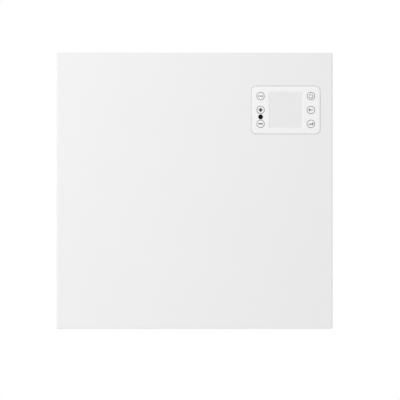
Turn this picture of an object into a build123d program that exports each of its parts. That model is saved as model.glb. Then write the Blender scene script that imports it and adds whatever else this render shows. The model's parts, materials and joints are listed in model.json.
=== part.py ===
# Wall-hung electric convector heater: a square, flat folded-steel front over a shallow casing.
# Cool air enters through a slotted grille underneath, passes a finned aluminium element and
# leaves through a louvred grille on top. A control unit with six push keys, a display and a
# remote-control eye sits in the front. The casing hangs on a steel wall bracket by four hooks
# and is kept there by two quarter-turn latches.
#
# Millimetres. +Z is up, +X is to the right as seen from the room, and the room is at -Y.
# The origin lies on the wall, at the middle of the four wall screws. Depths are written as
# distances out from the wall, so a depth of 85 is the plane Y = -85.
from build123d import *
from math import asin, cos, radians, sin, sqrt, tan
import os

# Front panel
panel_width = 430.0
panel_height = 430.0
panel_depth = 16.0
panel_sheet = 1.0
panel_corner = 2.0
panel_bend = 1.5

# Casing
wall_gap = 22.0
casing_depth = 47.0
casing_inset = 9.0
casing_sheet = 0.8
casing_corner = 4.0
casing_bend = 2.0
flange_width = 6.5
lip_clearance = 0.8
rib_width = 14.0
rib_depth = 2.5
rib_length = 180.0
rib_spacing = 80.0

# Screws that join the flange to the lip
panel_screw_radius = 1.6
panel_screw_head_radius = 3.0
panel_screw_head_height = 1.8
panel_screw_length = 9.0
panel_screw_pitch = 150.0
panel_screw_rows = 3
screw_clearance = 0.15

# Louvred outlet grille on top
outlet_end_margin = 18.0
outlet_width = 30.0
outlet_flange = 3.5
grille_end_flange = 9.0
outlet_plate = 1.2
outlet_wall = 1.2
outlet_blades = 5
blade_pitch = 5.4
blade_thickness = 1.0
blade_height = 8.0
blade_tilt = 32.0
outlet_rib_count = 5
outlet_rib_pitch = 62.0
grille_fit = 0.4

# Slotted intake grille underneath
intake_width = 32.0
intake_flange = 3.5
intake_plate = 1.2
intake_end_margin = 13.0
intake_slot_width = 5.0
intake_slot_length = 26.0
intake_slot_pitch = 10.0
grille_screw_radius = 1.2
grille_screw_head_radius = 2.2
grille_screw_head_height = 1.3
grille_screw_length = 5.0

# Wall bracket
bracket_sheet = 1.5
arm_spacing = 220.0
arm_width = 26.0
arm_height = 330.0
rail_width = 28.0
rail_spacing = 300.0
wall_slot_spacing = 150.0
wall_slot_length = 14.0
wall_slot_width = 6.0
hook_spacing = 230.0
hook_rise = 8.0
hook_root = 26.0
hook_reach = 4.0
hook_play = 0.5
hook_slot_width = 5.0
hook_slot_spare = 1.5

# Quarter-turn latches on the top rail
latch_spacing = 120.0
latch_out = 11.5
latch_shank_radius = 4.0
latch_head_radius = 7.5
latch_head_height = 6.0
latch_groove = 1.4
latch_groove_depth = 2.2
latch_arm_radius = 10.5
latch_tip_radius = 4.0
latch_hub_radius = 6.5
latch_arm_thickness = 4.0
latch_drop = 2.0
latch_tab_width = 22.0
latch_fit = 0.1
latch_slot_length = 24.0
latch_slot_clearance = 0.7

# Control unit: bezel, window, keys
pad_width = 107.0
pad_height = 74.5
pad_corner = 7.5
pad_right_margin = 19.3
pad_top_margin = 51.8
pad_proud = 0.8
pad_edge = 0.7
pad_gap = 0.4
pad_plate = 3.3
pad_flange = 3.0
pad_flange_thickness = 1.5
window_width = 52.2
window_height = 55.5
window_corner = 1.0
window_recess = 0.5
window_fit = 0.15
window_flange = 2.0
window_flange_thickness = 1.2
key_spread = 78.4
key_pitch = 21.6
key_radius = 5.45
key_gap = 0.4
key_dome = 0.25
key_flange = 0.7
key_flange_thickness = 1.2
key_play = 0.2
key_travel = 0.6
key_stem_radius = 2.2
switch_size = 6.0
switch_height = 3.5
switch_cap_radius = 1.7
lens_radius = 3.65
lens_fit = 0.12
lens_rear = 0.9
lens_edge = 0.5
display_thickness = 5.5
display_margin = 1.5
board_thickness = 1.6
board_margin = 3.0
control_depth = 22.5
control_wall = 1.8
control_inset = 2.0
control_corner = 5.0
control_post_radius = 2.9
control_screw_radius = 1.25
control_screw_head_radius = 2.4
control_screw_bite = 5.0
control_post_inset = 5.5
clamp_thickness = 1.0
clamp_overlap = 2.2
clamp_foot = 8.0
clamp_length = 70.0

# Heating chamber
compartment_margin = 10.0
partition_sheet = 0.8
partition_flange = 12.0
partition_front_gap = 3.0
grommet_hole_radius = 7.0
grommet_wall = 2.0
grommet_z = -60.0
shield_sheet = 0.6
shield_gap = 6.0
shield_flange = 22.0
shield_end_margin = 36.0
element_length = 196.0
element_rise = 92.0
element_out = 50.0
fin_length = 27.0
fin_thickness = 1.8
fin_angle = 54.0
finlet_thickness = 1.2
element_tube_radius = 7.0
rod_radius = 4.0
rod_fit = 0.1
rod_overhang = 19.0
rod_pin_radius = 1.6
rod_pin_length = 6.0
tab_width = 6.3
tab_thickness = 0.8
tab_length = 8.0
bush_radius = 7.5
bush_collar = 2.0
bush_collar_thickness = 3.0
bush_gap = 1.0
holder_sheet = 1.0
holder_width = 26.0
holder_foot = 14.0
holder_head = 12.0
cutout_radius = 8.0
cutout_height = 7.0
cutout_plate_width = 14.0
cutout_plate_length = 30.0
cutout_plate_thickness = 1.2
cutout_z = 60.0

# Rivets through the back
rivet_radius = 1.6
rivet_head_radius = 3.0
rivet_head_height = 0.9
rivet_tail_radius = 2.4
rivet_tail_height = 1.2

# Leads
lead_radius = 1.3
lead_bend = 3.0
sensor_lead_radius = 0.9
sleeve_wall = 0.8
sleeve_fit = 0.1
sleeve_cap = 1.5
ribbon_width = 12.0
ribbon_thickness = 1.2
ribbon_rise = 10.0
header_width = 15.0
header_depth = 7.0
header_height = 8.0
ring_radius = 4.0
ring_thickness = 1.0

# Electronics compartment
supply_width = 84.0
supply_height = 96.0
supply_z = 20.0
standoff_height = 8.0
standoff_radius = 3.0
board_screw_radius = 1.3
board_screw_head_radius = 2.6
board_screw_head_height = 1.8
board_hole_inset = 5.0
relay_size = (19.0, 15.5, 15.0)
transformer_size = (27.0, 34.0, 20.0)
capacitor_size = (26.0, 9.0, 16.0)
block_ways = 5
block_way_width = 7.6
block_depth = 12.0
block_height = 14.0
terminal_ways = 3
terminal_way_width = 12.0
terminal_depth = 17.0
terminal_height = 20.0
terminal_z = -95.0
earth_stud_radius = 2.0
earth_stud_length = 12.0
earth_nut_flats = 7.0
earth_nut_height = 3.2
earth_z = -140.0

# Cord entry and room-temperature sensor, in a cover under the compartment
entry_cover_length = 102.0
entry_cover_width = 36.0
entry_cover_thickness = 2.0
entry_cover_overlap = 4.0
entry_cover_end = 9.0
gland_bore_radius = 3.6
gland_thread_radius = 6.2
gland_thread_fit = 0.1
gland_flats = 17.0
gland_head_height = 6.0
gland_thread_length = 12.0
gland_nut_height = 4.5
gland_offset = -24.0
sensor_radius = 3.0
sensor_length = 24.0
sensor_proud = 8.0
sensor_fit = 0.2
sensor_collar = 1.5
sensor_offset = 24.0

# Mains rocker switch in the right-hand side
switch_z = -150.0
rocker_flange_width = 23.0
rocker_flange_height = 32.0
rocker_flange_thickness = 2.0
rocker_body_width = 19.5
rocker_body_height = 28.0
rocker_body_depth = 17.0
rocker_width = 15.0
rocker_length = 24.8
rocker_tilt = 9.0
rocker_proud = 3.2
rocker_pivot_depth = 3.0
rocker_pin_radius = 1.5
rocker_pin_fit = 0.06
rocker_pin_length = 1.2
rocker_clearance = 0.35
switch_fit = 0.2

# Depth stations, as distances out from the wall
back_out = wall_gap
back_inner_out = back_out + casing_sheet
flange_out = back_out + casing_depth
front_out = flange_out + panel_depth
panel_inner_out = front_out - panel_sheet
duct_out = back_out + casing_depth / 2
pad_face_out = front_out + pad_proud
pad_back_out = pad_face_out - pad_plate
shield_out = panel_inner_out - shield_gap

# Sizes and places worked out from the ones above
casing_width = panel_width - 2 * casing_inset
casing_height = panel_height - 2 * casing_inset
casing_left = -casing_width / 2 + casing_sheet
casing_right = casing_width / 2
casing_top = casing_height / 2
casing_floor = -casing_height / 2
flange_line_x = casing_width + flange_width
flange_line_z = casing_height + flange_width
pad_x = panel_width / 2 - pad_right_margin - pad_width / 2
pad_z = panel_height / 2 - pad_top_margin - pad_height / 2
partition_x = pad_x - pad_width / 2 - compartment_margin
chamber_x = (casing_left + partition_x) / 2
chamber_width = partition_x - casing_left
compartment_x = (partition_x + partition_sheet + casing_right - casing_sheet) / 2
element_z = casing_floor + element_rise


def at(depth):
    """The plane that faces the room at this distance from the wall."""
    return Plane.XZ.offset(depth)


def facing_right(x):
    """The plane that faces +X here: its first axis points to the wall, its second up."""
    return Plane.YZ.offset(x)


def spot(x, depth, z):
    """A point given by its distance out from the wall."""
    return Vector(x, -depth, z)


def run_lead(points, radius=lead_radius):
    """A round lead along straight runs joined by arcs of one bend radius."""
    with BuildLine() as path:
        start = points[0]
        for before, corner, after in zip(points, points[1:], points[2:]):
            back = (before - corner).normalized()
            ahead = (after - corner).normalized()
            half_angle = radians(back.get_angle(ahead)) / 2
            reach = lead_bend / tan(half_angle)
            middle = corner + (back + ahead).normalized() * (lead_bend / sin(half_angle) - lead_bend)
            Line(start, corner + back * reach)
            ThreePointArc(corner + back * reach, middle, corner + ahead * reach)
            start = corner + ahead * reach
        Line(start, points[-1])
    with BuildSketch(Plane(origin=points[0], z_dir=points[1] - points[0])) as section:
        Circle(radius)
    sweep(section.sketch, path=path.line)


def push_sleeve(tab_end, lead_side):
    """A push-on sleeve over an upright tab, closed on the side of the lead."""
    plane = Plane(origin=tab_end, x_dir=(0, 0, 1), z_dir=lead_side)
    outer = (tab_width + 2 * sleeve_fit + 2 * sleeve_wall, tab_thickness + 2 * sleeve_fit + 2 * sleeve_wall)
    with BuildSketch(plane) as cap:
        Rectangle(*outer)
    extrude(cap.sketch, amount=sleeve_cap)
    with BuildSketch(plane) as sleeve:
        Rectangle(*outer)
        Rectangle(tab_width + 2 * sleeve_fit, tab_thickness + 2 * sleeve_fit, mode=Mode.SUBTRACT)
    extrude(sleeve.sketch, amount=-tab_length * 0.8)


def vertical_edges(part):
    """The edges that run through the thickness of a piece seen from the room."""
    return part.edges().filter_by(Axis.Y)


# Lengths of the openings, and where the screws of their covers go
outlet_length = casing_width - 2 * outlet_end_margin
intake_length = chamber_width - 2 * intake_end_margin
outlet_screw_x = outlet_length / 2 + grille_end_flange / 2
intake_screw_x = intake_length / 2 + grille_end_flange / 2
entry_opening_length = entry_cover_length - 2 * entry_cover_end
entry_opening_width = entry_cover_width - 2 * entry_cover_overlap
entry_screw_x = entry_opening_length / 2 + entry_cover_end / 2
under_screws = (
    (chamber_x - intake_screw_x, intake_plate),
    (chamber_x + intake_screw_x, intake_plate),
    (compartment_x - entry_screw_x, entry_cover_thickness),
    (compartment_x + entry_screw_x, entry_cover_thickness),
)

# Rivets through the back: across, up, and how thick a sheet each one holds
bush_length = 2 * bush_collar_thickness + holder_sheet
bush_offset = element_length / 2 + bush_gap + bush_length / 2
foot_offset = bush_offset - holder_foot / 2
flange_rivet_x = partition_x + partition_flange / 2
cutout_rivet_x = (cutout_plate_length + 2 * cutout_radius) / 4
rivets_at = (
    (chamber_x - foot_offset, element_z, holder_sheet),
    (chamber_x + foot_offset, element_z, holder_sheet),
    (flange_rivet_x, casing_height / 3, partition_sheet),
    (flange_rivet_x, 0, partition_sheet),
    (flange_rivet_x, -casing_height / 3, partition_sheet),
    (chamber_x - cutout_rivet_x, cutout_z, cutout_plate_thickness),
    (chamber_x + cutout_rivet_x, cutout_z, cutout_plate_thickness),
)
rivet_spots = [(x, z) for x, z, grip in rivets_at]

# Front panel: a tray of folded sheet, with a lip turned in behind its four returns
lip_opening_width = casing_width + 2 * lip_clearance
lip_opening_height = casing_height + 2 * lip_clearance

with BuildPart() as front_panel:
    with BuildSketch(at(flange_out)):
        Rectangle(panel_width, panel_height)
    extrude(amount=panel_depth)
    fillet(vertical_edges(front_panel), panel_corner)
    fillet(front_panel.faces().sort_by(Axis.Y)[0].edges(), panel_bend)
    offset(amount=-panel_sheet, openings=front_panel.faces().sort_by(Axis.Y)[-1])
    with BuildSketch(at(flange_out)):
        Rectangle(panel_width - panel_sheet, panel_height - panel_sheet)
        Rectangle(lip_opening_width, lip_opening_height, mode=Mode.SUBTRACT)
    extrude(amount=panel_sheet)
    with BuildSketch(at(panel_inner_out)):
        with Locations((pad_x, pad_z)):
            RectangleRounded(pad_width + 2 * pad_gap, pad_height + 2 * pad_gap, pad_corner + pad_gap)
    extrude(amount=panel_sheet, mode=Mode.SUBTRACT)
    with BuildSketch(at(flange_out)):
        with GridLocations(panel_screw_pitch, flange_line_z, panel_screw_rows, 2):
            Circle(panel_screw_radius + screw_clearance)
        with GridLocations(flange_line_x, panel_screw_pitch, 2, panel_screw_rows):
            Circle(panel_screw_radius + screw_clearance)
    extrude(amount=panel_sheet, mode=Mode.SUBTRACT)

# Rear casing: a deep tray, open to the front, with a flange that the panel's lip lies on
hook_x = arm_spacing / 2 + arm_width / 2 - bracket_sheet / 2
hook_slot_height = hook_rise + hook_reach + hook_slot_spare
latch_tab_z = rail_spacing / 2 + rail_width / 2
latch_arm_top = latch_tab_z - bracket_sheet - latch_drop
latch_slot_height = latch_arm_thickness + 2 * latch_slot_clearance

with BuildPart() as rear_casing:
    with BuildSketch(at(back_out)):
        Rectangle(casing_width, casing_height)
    extrude(amount=casing_depth)
    fillet(vertical_edges(rear_casing), casing_corner)
    fillet(rear_casing.faces().sort_by(Axis.Y)[-1].edges(), casing_bend)
    offset(amount=-casing_sheet, openings=rear_casing.faces().sort_by(Axis.Y)[0])
    with BuildSketch(at(flange_out - casing_sheet)):
        RectangleRounded(
            casing_width + 2 * flange_width, casing_height + 2 * flange_width, casing_corner
        )
        RectangleRounded(
            casing_width - casing_sheet, casing_height - casing_sheet, casing_corner, mode=Mode.SUBTRACT
        )
    extrude(amount=casing_sheet)
    # Two pressed ribs stiffen the back: a ridge inside, and the same shape sunk from outside
    with BuildSketch(at(back_inner_out)):
        with GridLocations(rib_spacing, 0, 2, 1):
            SlotOverall(rib_length, rib_width, rotation=90)
    extrude(amount=rib_depth, taper=35)
    with BuildSketch(at(back_out)):
        with GridLocations(rib_spacing, 0, 2, 1):
            SlotOverall(rib_length - casing_sheet, rib_width - casing_sheet, rotation=90)
    extrude(amount=rib_depth, taper=35, mode=Mode.SUBTRACT)
    # Holes for the screws of the front panel
    with BuildSketch(at(flange_out - casing_sheet)):
        with GridLocations(panel_screw_pitch, flange_line_z, panel_screw_rows, 2):
            Circle(panel_screw_radius + screw_clearance)
        with GridLocations(flange_line_x, panel_screw_pitch, 2, panel_screw_rows):
            Circle(panel_screw_radius + screw_clearance)
    extrude(amount=casing_sheet, mode=Mode.SUBTRACT)
    # Slots for the hooks of the wall bracket and for the arms of its latches
    with BuildSketch(at(back_out)):
        with GridLocations(2 * hook_x, hook_spacing, 2, 2):
            with Locations((0, -hook_slot_height / 2)):
                Rectangle(hook_slot_width, hook_slot_height)
        with Locations((0, latch_arm_top - latch_arm_thickness / 2)):
            with GridLocations(latch_spacing, 0, 2, 1):
                Rectangle(latch_slot_length, latch_slot_height)
    extrude(amount=casing_sheet, mode=Mode.SUBTRACT)
    # Holes for the rivets
    with BuildSketch(at(back_out)):
        with Locations(*rivet_spots):
            Circle(rivet_radius + screw_clearance)
    extrude(amount=casing_sheet, mode=Mode.SUBTRACT)
    # Outlet in the top, intake and cord entry in the bottom
    with BuildSketch(Plane.XY.offset(casing_top - casing_sheet)):
        with Locations((0, -duct_out)):
            Rectangle(outlet_length, outlet_width)
            with GridLocations(2 * outlet_screw_x, 0, 2, 1):
                Circle(grille_screw_radius + screw_clearance)
    extrude(amount=casing_sheet, mode=Mode.SUBTRACT)
    with BuildSketch(Plane.XY.offset(casing_floor)):
        with Locations((chamber_x, -duct_out)):
            Rectangle(intake_length, intake_width)
        with Locations((compartment_x, -duct_out)):
            Rectangle(entry_opening_length, entry_opening_width)
        with Locations(*[(x, -duct_out) for x, grip in under_screws]):
            Circle(grille_screw_radius + screw_clearance)
    extrude(amount=casing_sheet, mode=Mode.SUBTRACT)
    # Cut-out for the rocker switch in the right-hand side
    with BuildSketch(facing_right(casing_right - casing_sheet)):
        with Locations((-duct_out, switch_z)):
            Rectangle(rocker_body_width + 2 * switch_fit, rocker_body_height + 2 * switch_fit)
    extrude(amount=casing_sheet, mode=Mode.SUBTRACT)

# Screws through the casing's flange into the panel's lip, driven from behind
with BuildPart() as panel_screws:
    with BuildSketch(at(flange_out - casing_sheet)):
        with GridLocations(panel_screw_pitch, flange_line_z, panel_screw_rows, 2):
            Circle(panel_screw_radius)
        with GridLocations(flange_line_x, panel_screw_pitch, 2, panel_screw_rows):
            Circle(panel_screw_radius)
    extrude(amount=panel_screw_length)
    with BuildSketch(at(flange_out - casing_sheet)):
        with GridLocations(panel_screw_pitch, flange_line_z, panel_screw_rows, 2):
            Circle(panel_screw_head_radius)
        with GridLocations(flange_line_x, panel_screw_pitch, 2, panel_screw_rows):
            Circle(panel_screw_head_radius)
    extrude(amount=-panel_screw_head_height, taper=20)

# Outlet grille: a flange on the casing's top, a wall down through it, and tilted louvres
outlet_top = casing_top + outlet_plate
outlet_collar_length = outlet_length - 2 * grille_fit
outlet_collar_width = outlet_width - 2 * grille_fit
outlet_inner_length = outlet_collar_length - 2 * outlet_wall
outlet_inner_width = outlet_collar_width - 2 * outlet_wall
blade_drop = blade_height * cos(radians(blade_tilt)) / 2

with BuildPart() as outlet_grille:
    with BuildSketch(Plane.XY.offset(casing_top)):
        with Locations((0, -duct_out)):
            RectangleRounded(
                outlet_length + 2 * grille_end_flange, outlet_width + 2 * outlet_flange, outlet_flange
            )
            Rectangle(outlet_inner_length, outlet_inner_width, mode=Mode.SUBTRACT)
            with GridLocations(2 * outlet_screw_x, 0, 2, 1):
                Circle(grille_screw_radius + screw_clearance, mode=Mode.SUBTRACT)
    extrude(amount=outlet_plate)
    with BuildSketch(Plane.XY.offset(casing_top)):
        with Locations((0, -duct_out)):
            Rectangle(outlet_collar_length, outlet_collar_width)
            Rectangle(outlet_inner_length, outlet_inner_width, mode=Mode.SUBTRACT)
    extrude(amount=-blade_height)
    with BuildSketch(facing_right(-outlet_inner_length / 2 - outlet_wall / 2)):
        with Locations((-duct_out, outlet_top - blade_drop - blade_thickness)):
            with GridLocations(blade_pitch, 0, outlet_blades, 1):
                Rectangle(blade_thickness, blade_height, rotation=blade_tilt)
    extrude(amount=outlet_inner_length + outlet_wall)
    with BuildSketch(Plane.XY.offset(casing_top - blade_height)):
        with Locations((0, -duct_out)):
            with GridLocations(outlet_rib_pitch, 0, outlet_rib_count, 1):
                Rectangle(outlet_wall, outlet_inner_width + outlet_wall)
    extrude(amount=blade_height + outlet_plate / 2)
    fillet(outlet_grille.faces().sort_by(Axis.Z)[-1].outer_wire().edges(), outlet_plate / 3)

# Intake grille: a slotted plate against the underside of the heating chamber
intake_slots = int(intake_length / intake_slot_pitch)

with BuildPart() as intake_grille:
    with BuildSketch(Plane.XY.offset(casing_floor - intake_plate)):
        with Locations((chamber_x, -duct_out)):
            RectangleRounded(
                intake_length + 2 * grille_end_flange, intake_width + 2 * intake_flange, intake_flange
            )
            with GridLocations(intake_slot_pitch, 0, intake_slots, 1):
                SlotOverall(
                    intake_slot_length, intake_slot_width, rotation=90, mode=Mode.SUBTRACT
                )
            with GridLocations(2 * intake_screw_x, 0, 2, 1):
                Circle(grille_screw_radius + screw_clearance, mode=Mode.SUBTRACT)
    extrude(amount=intake_plate)

# Screws of the two grilles and of the cord entry cover
with BuildPart() as grille_screws:
    with BuildSketch(Plane.XY.offset(casing_top + outlet_plate)):
        with Locations((0, -duct_out)):
            with GridLocations(2 * outlet_screw_x, 0, 2, 1):
                Circle(grille_screw_head_radius)
    extrude(amount=grille_screw_head_height, taper=20)
    with BuildSketch(Plane.XY.offset(casing_top + outlet_plate)):
        with Locations((0, -duct_out)):
            with GridLocations(2 * outlet_screw_x, 0, 2, 1):
                Circle(grille_screw_radius)
    extrude(amount=-grille_screw_length)
    for screw_x, grip in under_screws:
        with BuildSketch(Plane.XY.offset(casing_floor - grip)):
            with Locations((screw_x, -duct_out)):
                Circle(grille_screw_head_radius)
        extrude(amount=-grille_screw_head_height, taper=20)
        with BuildSketch(Plane.XY.offset(casing_floor - grip)):
            with Locations((screw_x, -duct_out)):
                Circle(grille_screw_radius)
        extrude(amount=grille_screw_length)

# Rivets that hold the sheets inside to the back
with BuildPart() as back_rivets:
    for rivet_x, rivet_z, grip in rivets_at:
        with BuildSketch(at(back_out - rivet_tail_height)):
            with Locations((rivet_x, rivet_z)):
                Circle(rivet_tail_radius)
        extrude(amount=rivet_tail_height)
        with BuildSketch(at(back_out)):
            with Locations((rivet_x, rivet_z)):
                Circle(rivet_radius)
        extrude(amount=casing_sheet + grip)
        with BuildSketch(at(back_inner_out + grip)):
            with Locations((rivet_x, rivet_z)):
                Circle(rivet_head_radius)
        extrude(amount=rivet_head_height, taper=25)

# Wall bracket: two uprights joined by two rails, flat against the wall
with BuildPart() as wall_bracket:
    with BuildSketch(at(0)):
        with GridLocations(arm_spacing, 0, 2, 1):
            Rectangle(arm_width, arm_height)
        with GridLocations(0, rail_spacing, 1, 2):
            Rectangle(arm_spacing, rail_width)
        with GridLocations(wall_slot_spacing, rail_spacing, 2, 2):
            SlotOverall(wall_slot_length, wall_slot_width, mode=Mode.SUBTRACT)
    extrude(amount=bracket_sheet)
    # Hooks: plates turned out from the uprights' outer edges, each notched for the casing's back
    for side in (-1, 1):
        for seat in (-hook_spacing / 2, hook_spacing / 2):
            with BuildSketch(facing_right(side * hook_x - bracket_sheet / 2)):
                with BuildLine():
                    Polyline(
                        (0, seat + hook_rise),
                        (-back_out + hook_play, seat + hook_rise),
                        (-back_out + hook_play, seat),
                        (-back_inner_out - hook_play, seat),
                        (-back_inner_out - hook_play, seat + hook_rise - 2),
                        (-back_inner_out - hook_play - 1, seat + hook_rise),
                        (-back_inner_out - hook_reach + 1, seat + hook_rise),
                        (-back_inner_out - hook_reach, seat + hook_rise - 3),
                        (-back_inner_out - hook_reach, seat - hook_reach),
                        (0, seat + hook_rise - hook_root),
                        close=True,
                    )
                make_face()
            extrude(amount=bracket_sheet)
    # Tabs turned out from the top rail carry the latches
    with BuildSketch(Plane.XY.offset(latch_tab_z - bracket_sheet)):
        with Locations((0, -latch_out / 2 - latch_head_radius / 2)):
            with GridLocations(latch_spacing, 0, 2, 1):
                Rectangle(latch_tab_width, latch_out + latch_head_radius)
        with Locations((0, -latch_out)):
            with GridLocations(latch_spacing, 0, 2, 1):
                Circle(latch_shank_radius + latch_fit, mode=Mode.SUBTRACT)
    extrude(amount=bracket_sheet)

# Latches: a slotted head over the tab, a shank through it, and an arm that reaches through
# the casing's back; a quarter turn swings the arm clear, and the heater lifts off
latches = {}
for name, side in (("latch_left", -1), ("latch_right", 1)):
    latch_x = side * latch_spacing / 2
    with BuildPart() as latch:
        with BuildSketch(Plane.XY.offset(latch_arm_top - latch_arm_thickness)):
            with Locations((latch_x, -latch_out)):
                Circle(latch_hub_radius)
                with Locations((0, -latch_arm_radius / 2)):
                    Rectangle(2 * latch_tip_radius, latch_arm_radius)
                with Locations((0, -latch_arm_radius)):
                    Circle(latch_tip_radius)
        extrude(amount=latch_arm_thickness)
        with BuildSketch(Plane.XY.offset(latch_arm_top - latch_arm_thickness)):
            with Locations((latch_x, -latch_out)):
                Circle(latch_shank_radius)
        extrude(amount=latch_tab_z + latch_fit - latch_arm_top + latch_arm_thickness)
        with BuildSketch(Plane.XY.offset(latch_tab_z + latch_fit)):
            with Locations((latch_x, -latch_out)):
                Circle(latch_head_radius)
        extrude(amount=latch_head_height)
        fillet(latch.faces().sort_by(Axis.Z)[-1].edges(), 1.0)
        with BuildSketch(Plane.XY.offset(latch_tab_z + latch_fit + latch_head_height)):
            with Locations((latch_x, -latch_out)):
                Rectangle(latch_groove, 2 * latch_head_radius)
        extrude(amount=-latch_groove_depth, mode=Mode.SUBTRACT)
    latches[name] = latch

# Control bezel: a rounded plate through the panel, with a flange behind it
bezel_flange_width = pad_width + 2 * pad_flange
bezel_flange_height = pad_height + 2 * pad_flange
post_spacing_x = pad_width - 2 * control_inset - 2 * control_post_inset
post_spacing_z = pad_height - 2 * control_inset - 2 * control_post_inset
display_depth = window_flange_thickness + display_thickness
board_front_out = pad_back_out - display_depth
board_back_out = board_front_out - board_thickness

with BuildPart() as control_bezel:
    with BuildSketch(at(pad_back_out)):
        with Locations((pad_x, pad_z)):
            RectangleRounded(pad_width, pad_height, pad_corner)
    extrude(amount=pad_plate)
    fillet(control_bezel.faces().sort_by(Axis.Y)[0].edges(), pad_edge)
    with BuildSketch(at(panel_inner_out - pad_flange_thickness)):
        with Locations((pad_x, pad_z)):
            RectangleRounded(bezel_flange_width, bezel_flange_height, pad_corner + pad_flange)
    extrude(amount=pad_flange_thickness)
    # Bosses for the board and for the screws that close the unit
    with BuildSketch(at(board_front_out)):
        with Locations((pad_x, pad_z)):
            with GridLocations(post_spacing_x, post_spacing_z, 2, 2):
                Circle(control_post_radius)
    extrude(amount=pad_back_out - board_front_out)
    with BuildSketch(at(pad_back_out)):
        with Locations((pad_x, pad_z)):
            Rectangle(window_width + 2 * window_fit, window_height + 2 * window_fit)
            with GridLocations(key_spread, key_pitch, 2, 3):
                Circle(key_radius + key_gap)
            with Locations((-key_spread / 2, -key_pitch / 2)):
                Circle(lens_radius + lens_fit)
    extrude(amount=pad_plate, mode=Mode.SUBTRACT)
    with BuildSketch(at(board_front_out)):
        with Locations((pad_x, pad_z)):
            with GridLocations(post_spacing_x, post_spacing_z, 2, 2):
                Circle(control_screw_radius + screw_clearance)
    extrude(amount=control_screw_bite, mode=Mode.SUBTRACT)

# Display window: a clear plate that fills the opening, with a flange behind the bezel
with BuildPart() as display_window:
    with BuildSketch(at(pad_back_out)):
        with Locations((pad_x, pad_z)):
            RectangleRounded(window_width, window_height, window_corner)
    extrude(amount=pad_plate - window_recess)
    with BuildSketch(at(pad_back_out - window_flange_thickness)):
        with Locations((pad_x, pad_z)):
            Rectangle(window_width + 2 * window_flange, window_height + 2 * window_flange)
    extrude(amount=window_flange_thickness)

# Display module between the window and the board
with BuildPart() as display_module:
    with BuildSketch(at(board_front_out)):
        with Locations((pad_x, pad_z)):
            Rectangle(window_width + 2 * display_margin, window_height + 2 * display_margin)
    extrude(amount=display_thickness)
    with BuildSketch(at(board_front_out + display_thickness - window_recess)):
        with Locations((pad_x, pad_z)):
            Rectangle(window_width, window_height)
    extrude(amount=window_recess, mode=Mode.SUBTRACT)

# Six push keys, each with a flange behind the bezel and a stem that meets its switch
key_face_out = pad_face_out
key_flange_out = pad_back_out - key_play
key_stem_out = board_front_out + switch_height + key_travel + screw_clearance
key_names = (
    ("key_menu", -1, 1),
    ("key_plus", -1, 0),
    ("key_minus", -1, -1),
    ("key_power", 1, 1),
    ("key_back", 1, 0),
    ("key_level", 1, -1),
)
keys = {}
for name, column, row in key_names:
    key_x = pad_x + column * key_spread / 2
    key_z = pad_z + row * key_pitch
    with BuildPart() as key:
        with BuildSketch(at(key_flange_out - key_flange_thickness)):
            with Locations((key_x, key_z)):
                Circle(key_radius)
        extrude(amount=key_face_out - key_flange_out + key_flange_thickness)
        fillet(key.faces().sort_by(Axis.Y)[0].edges(), key_dome)
        with BuildSketch(at(key_flange_out - key_flange_thickness)):
            with Locations((key_x, key_z)):
                Circle(key_radius + key_gap + key_flange)
        extrude(amount=key_flange_thickness)
        with BuildSketch(at(key_stem_out)):
            with Locations((key_x, key_z)):
                Circle(key_stem_radius)
        extrude(amount=key_flange_out - key_flange_thickness - key_stem_out)
    keys[name] = key

# Remote-control eye: a dark lens between the plus and minus keys, and its receiver
lens_z = pad_z - key_pitch / 2
lens_x = pad_x - key_spread / 2
with BuildPart() as eye_lens:
    with BuildSketch(at(pad_back_out)):
        with Locations((lens_x, lens_z)):
            Circle(lens_radius)
    extrude(amount=pad_plate)
    fillet(eye_lens.faces().sort_by(Axis.Y)[0].edges(), lens_edge)
    with BuildSketch(at(pad_back_out - lens_rear)):
        with Locations((lens_x, lens_z)):
            Circle(lens_radius)
    extrude(amount=lens_rear)

with BuildPart() as eye_receiver:
    with BuildSketch(at(board_front_out)):
        with Locations((lens_x, lens_z)):
            Rectangle(lens_radius * 1.5, lens_radius * 1.5)
    extrude(amount=pad_back_out - lens_rear - board_front_out)

# Key switches on the board, one behind each key
with BuildPart() as key_switches:
    with BuildSketch(at(board_front_out)):
        with Locations((pad_x, pad_z)):
            with GridLocations(key_spread, key_pitch, 2, 3):
                Rectangle(switch_size, switch_size)
    extrude(amount=switch_height - 0.5)
    with BuildSketch(at(board_front_out)):
        with Locations((pad_x, pad_z)):
            with GridLocations(key_spread, key_pitch, 2, 3):
                Circle(switch_cap_radius)
    extrude(amount=switch_height)

# Control board
with BuildPart() as control_board:
    with BuildSketch(at(board_back_out)):
        with Locations((pad_x, pad_z)):
            Rectangle(
                pad_width - 2 * control_inset - 2 * board_margin,
                pad_height - 2 * control_inset - 2 * board_margin,
            )
            with GridLocations(post_spacing_x, post_spacing_z, 2, 2):
                Circle(control_screw_radius + screw_clearance, mode=Mode.SUBTRACT)
    extrude(amount=board_thickness)

# Control housing: a tub behind the bezel, whose posts clamp the board on the bezel's bosses
housing_out = pad_back_out - control_depth
housing_width = pad_width - 2 * control_inset
housing_height = pad_height - 2 * control_inset
ribbon_z = pad_z - housing_height / 2 + ribbon_rise

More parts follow.
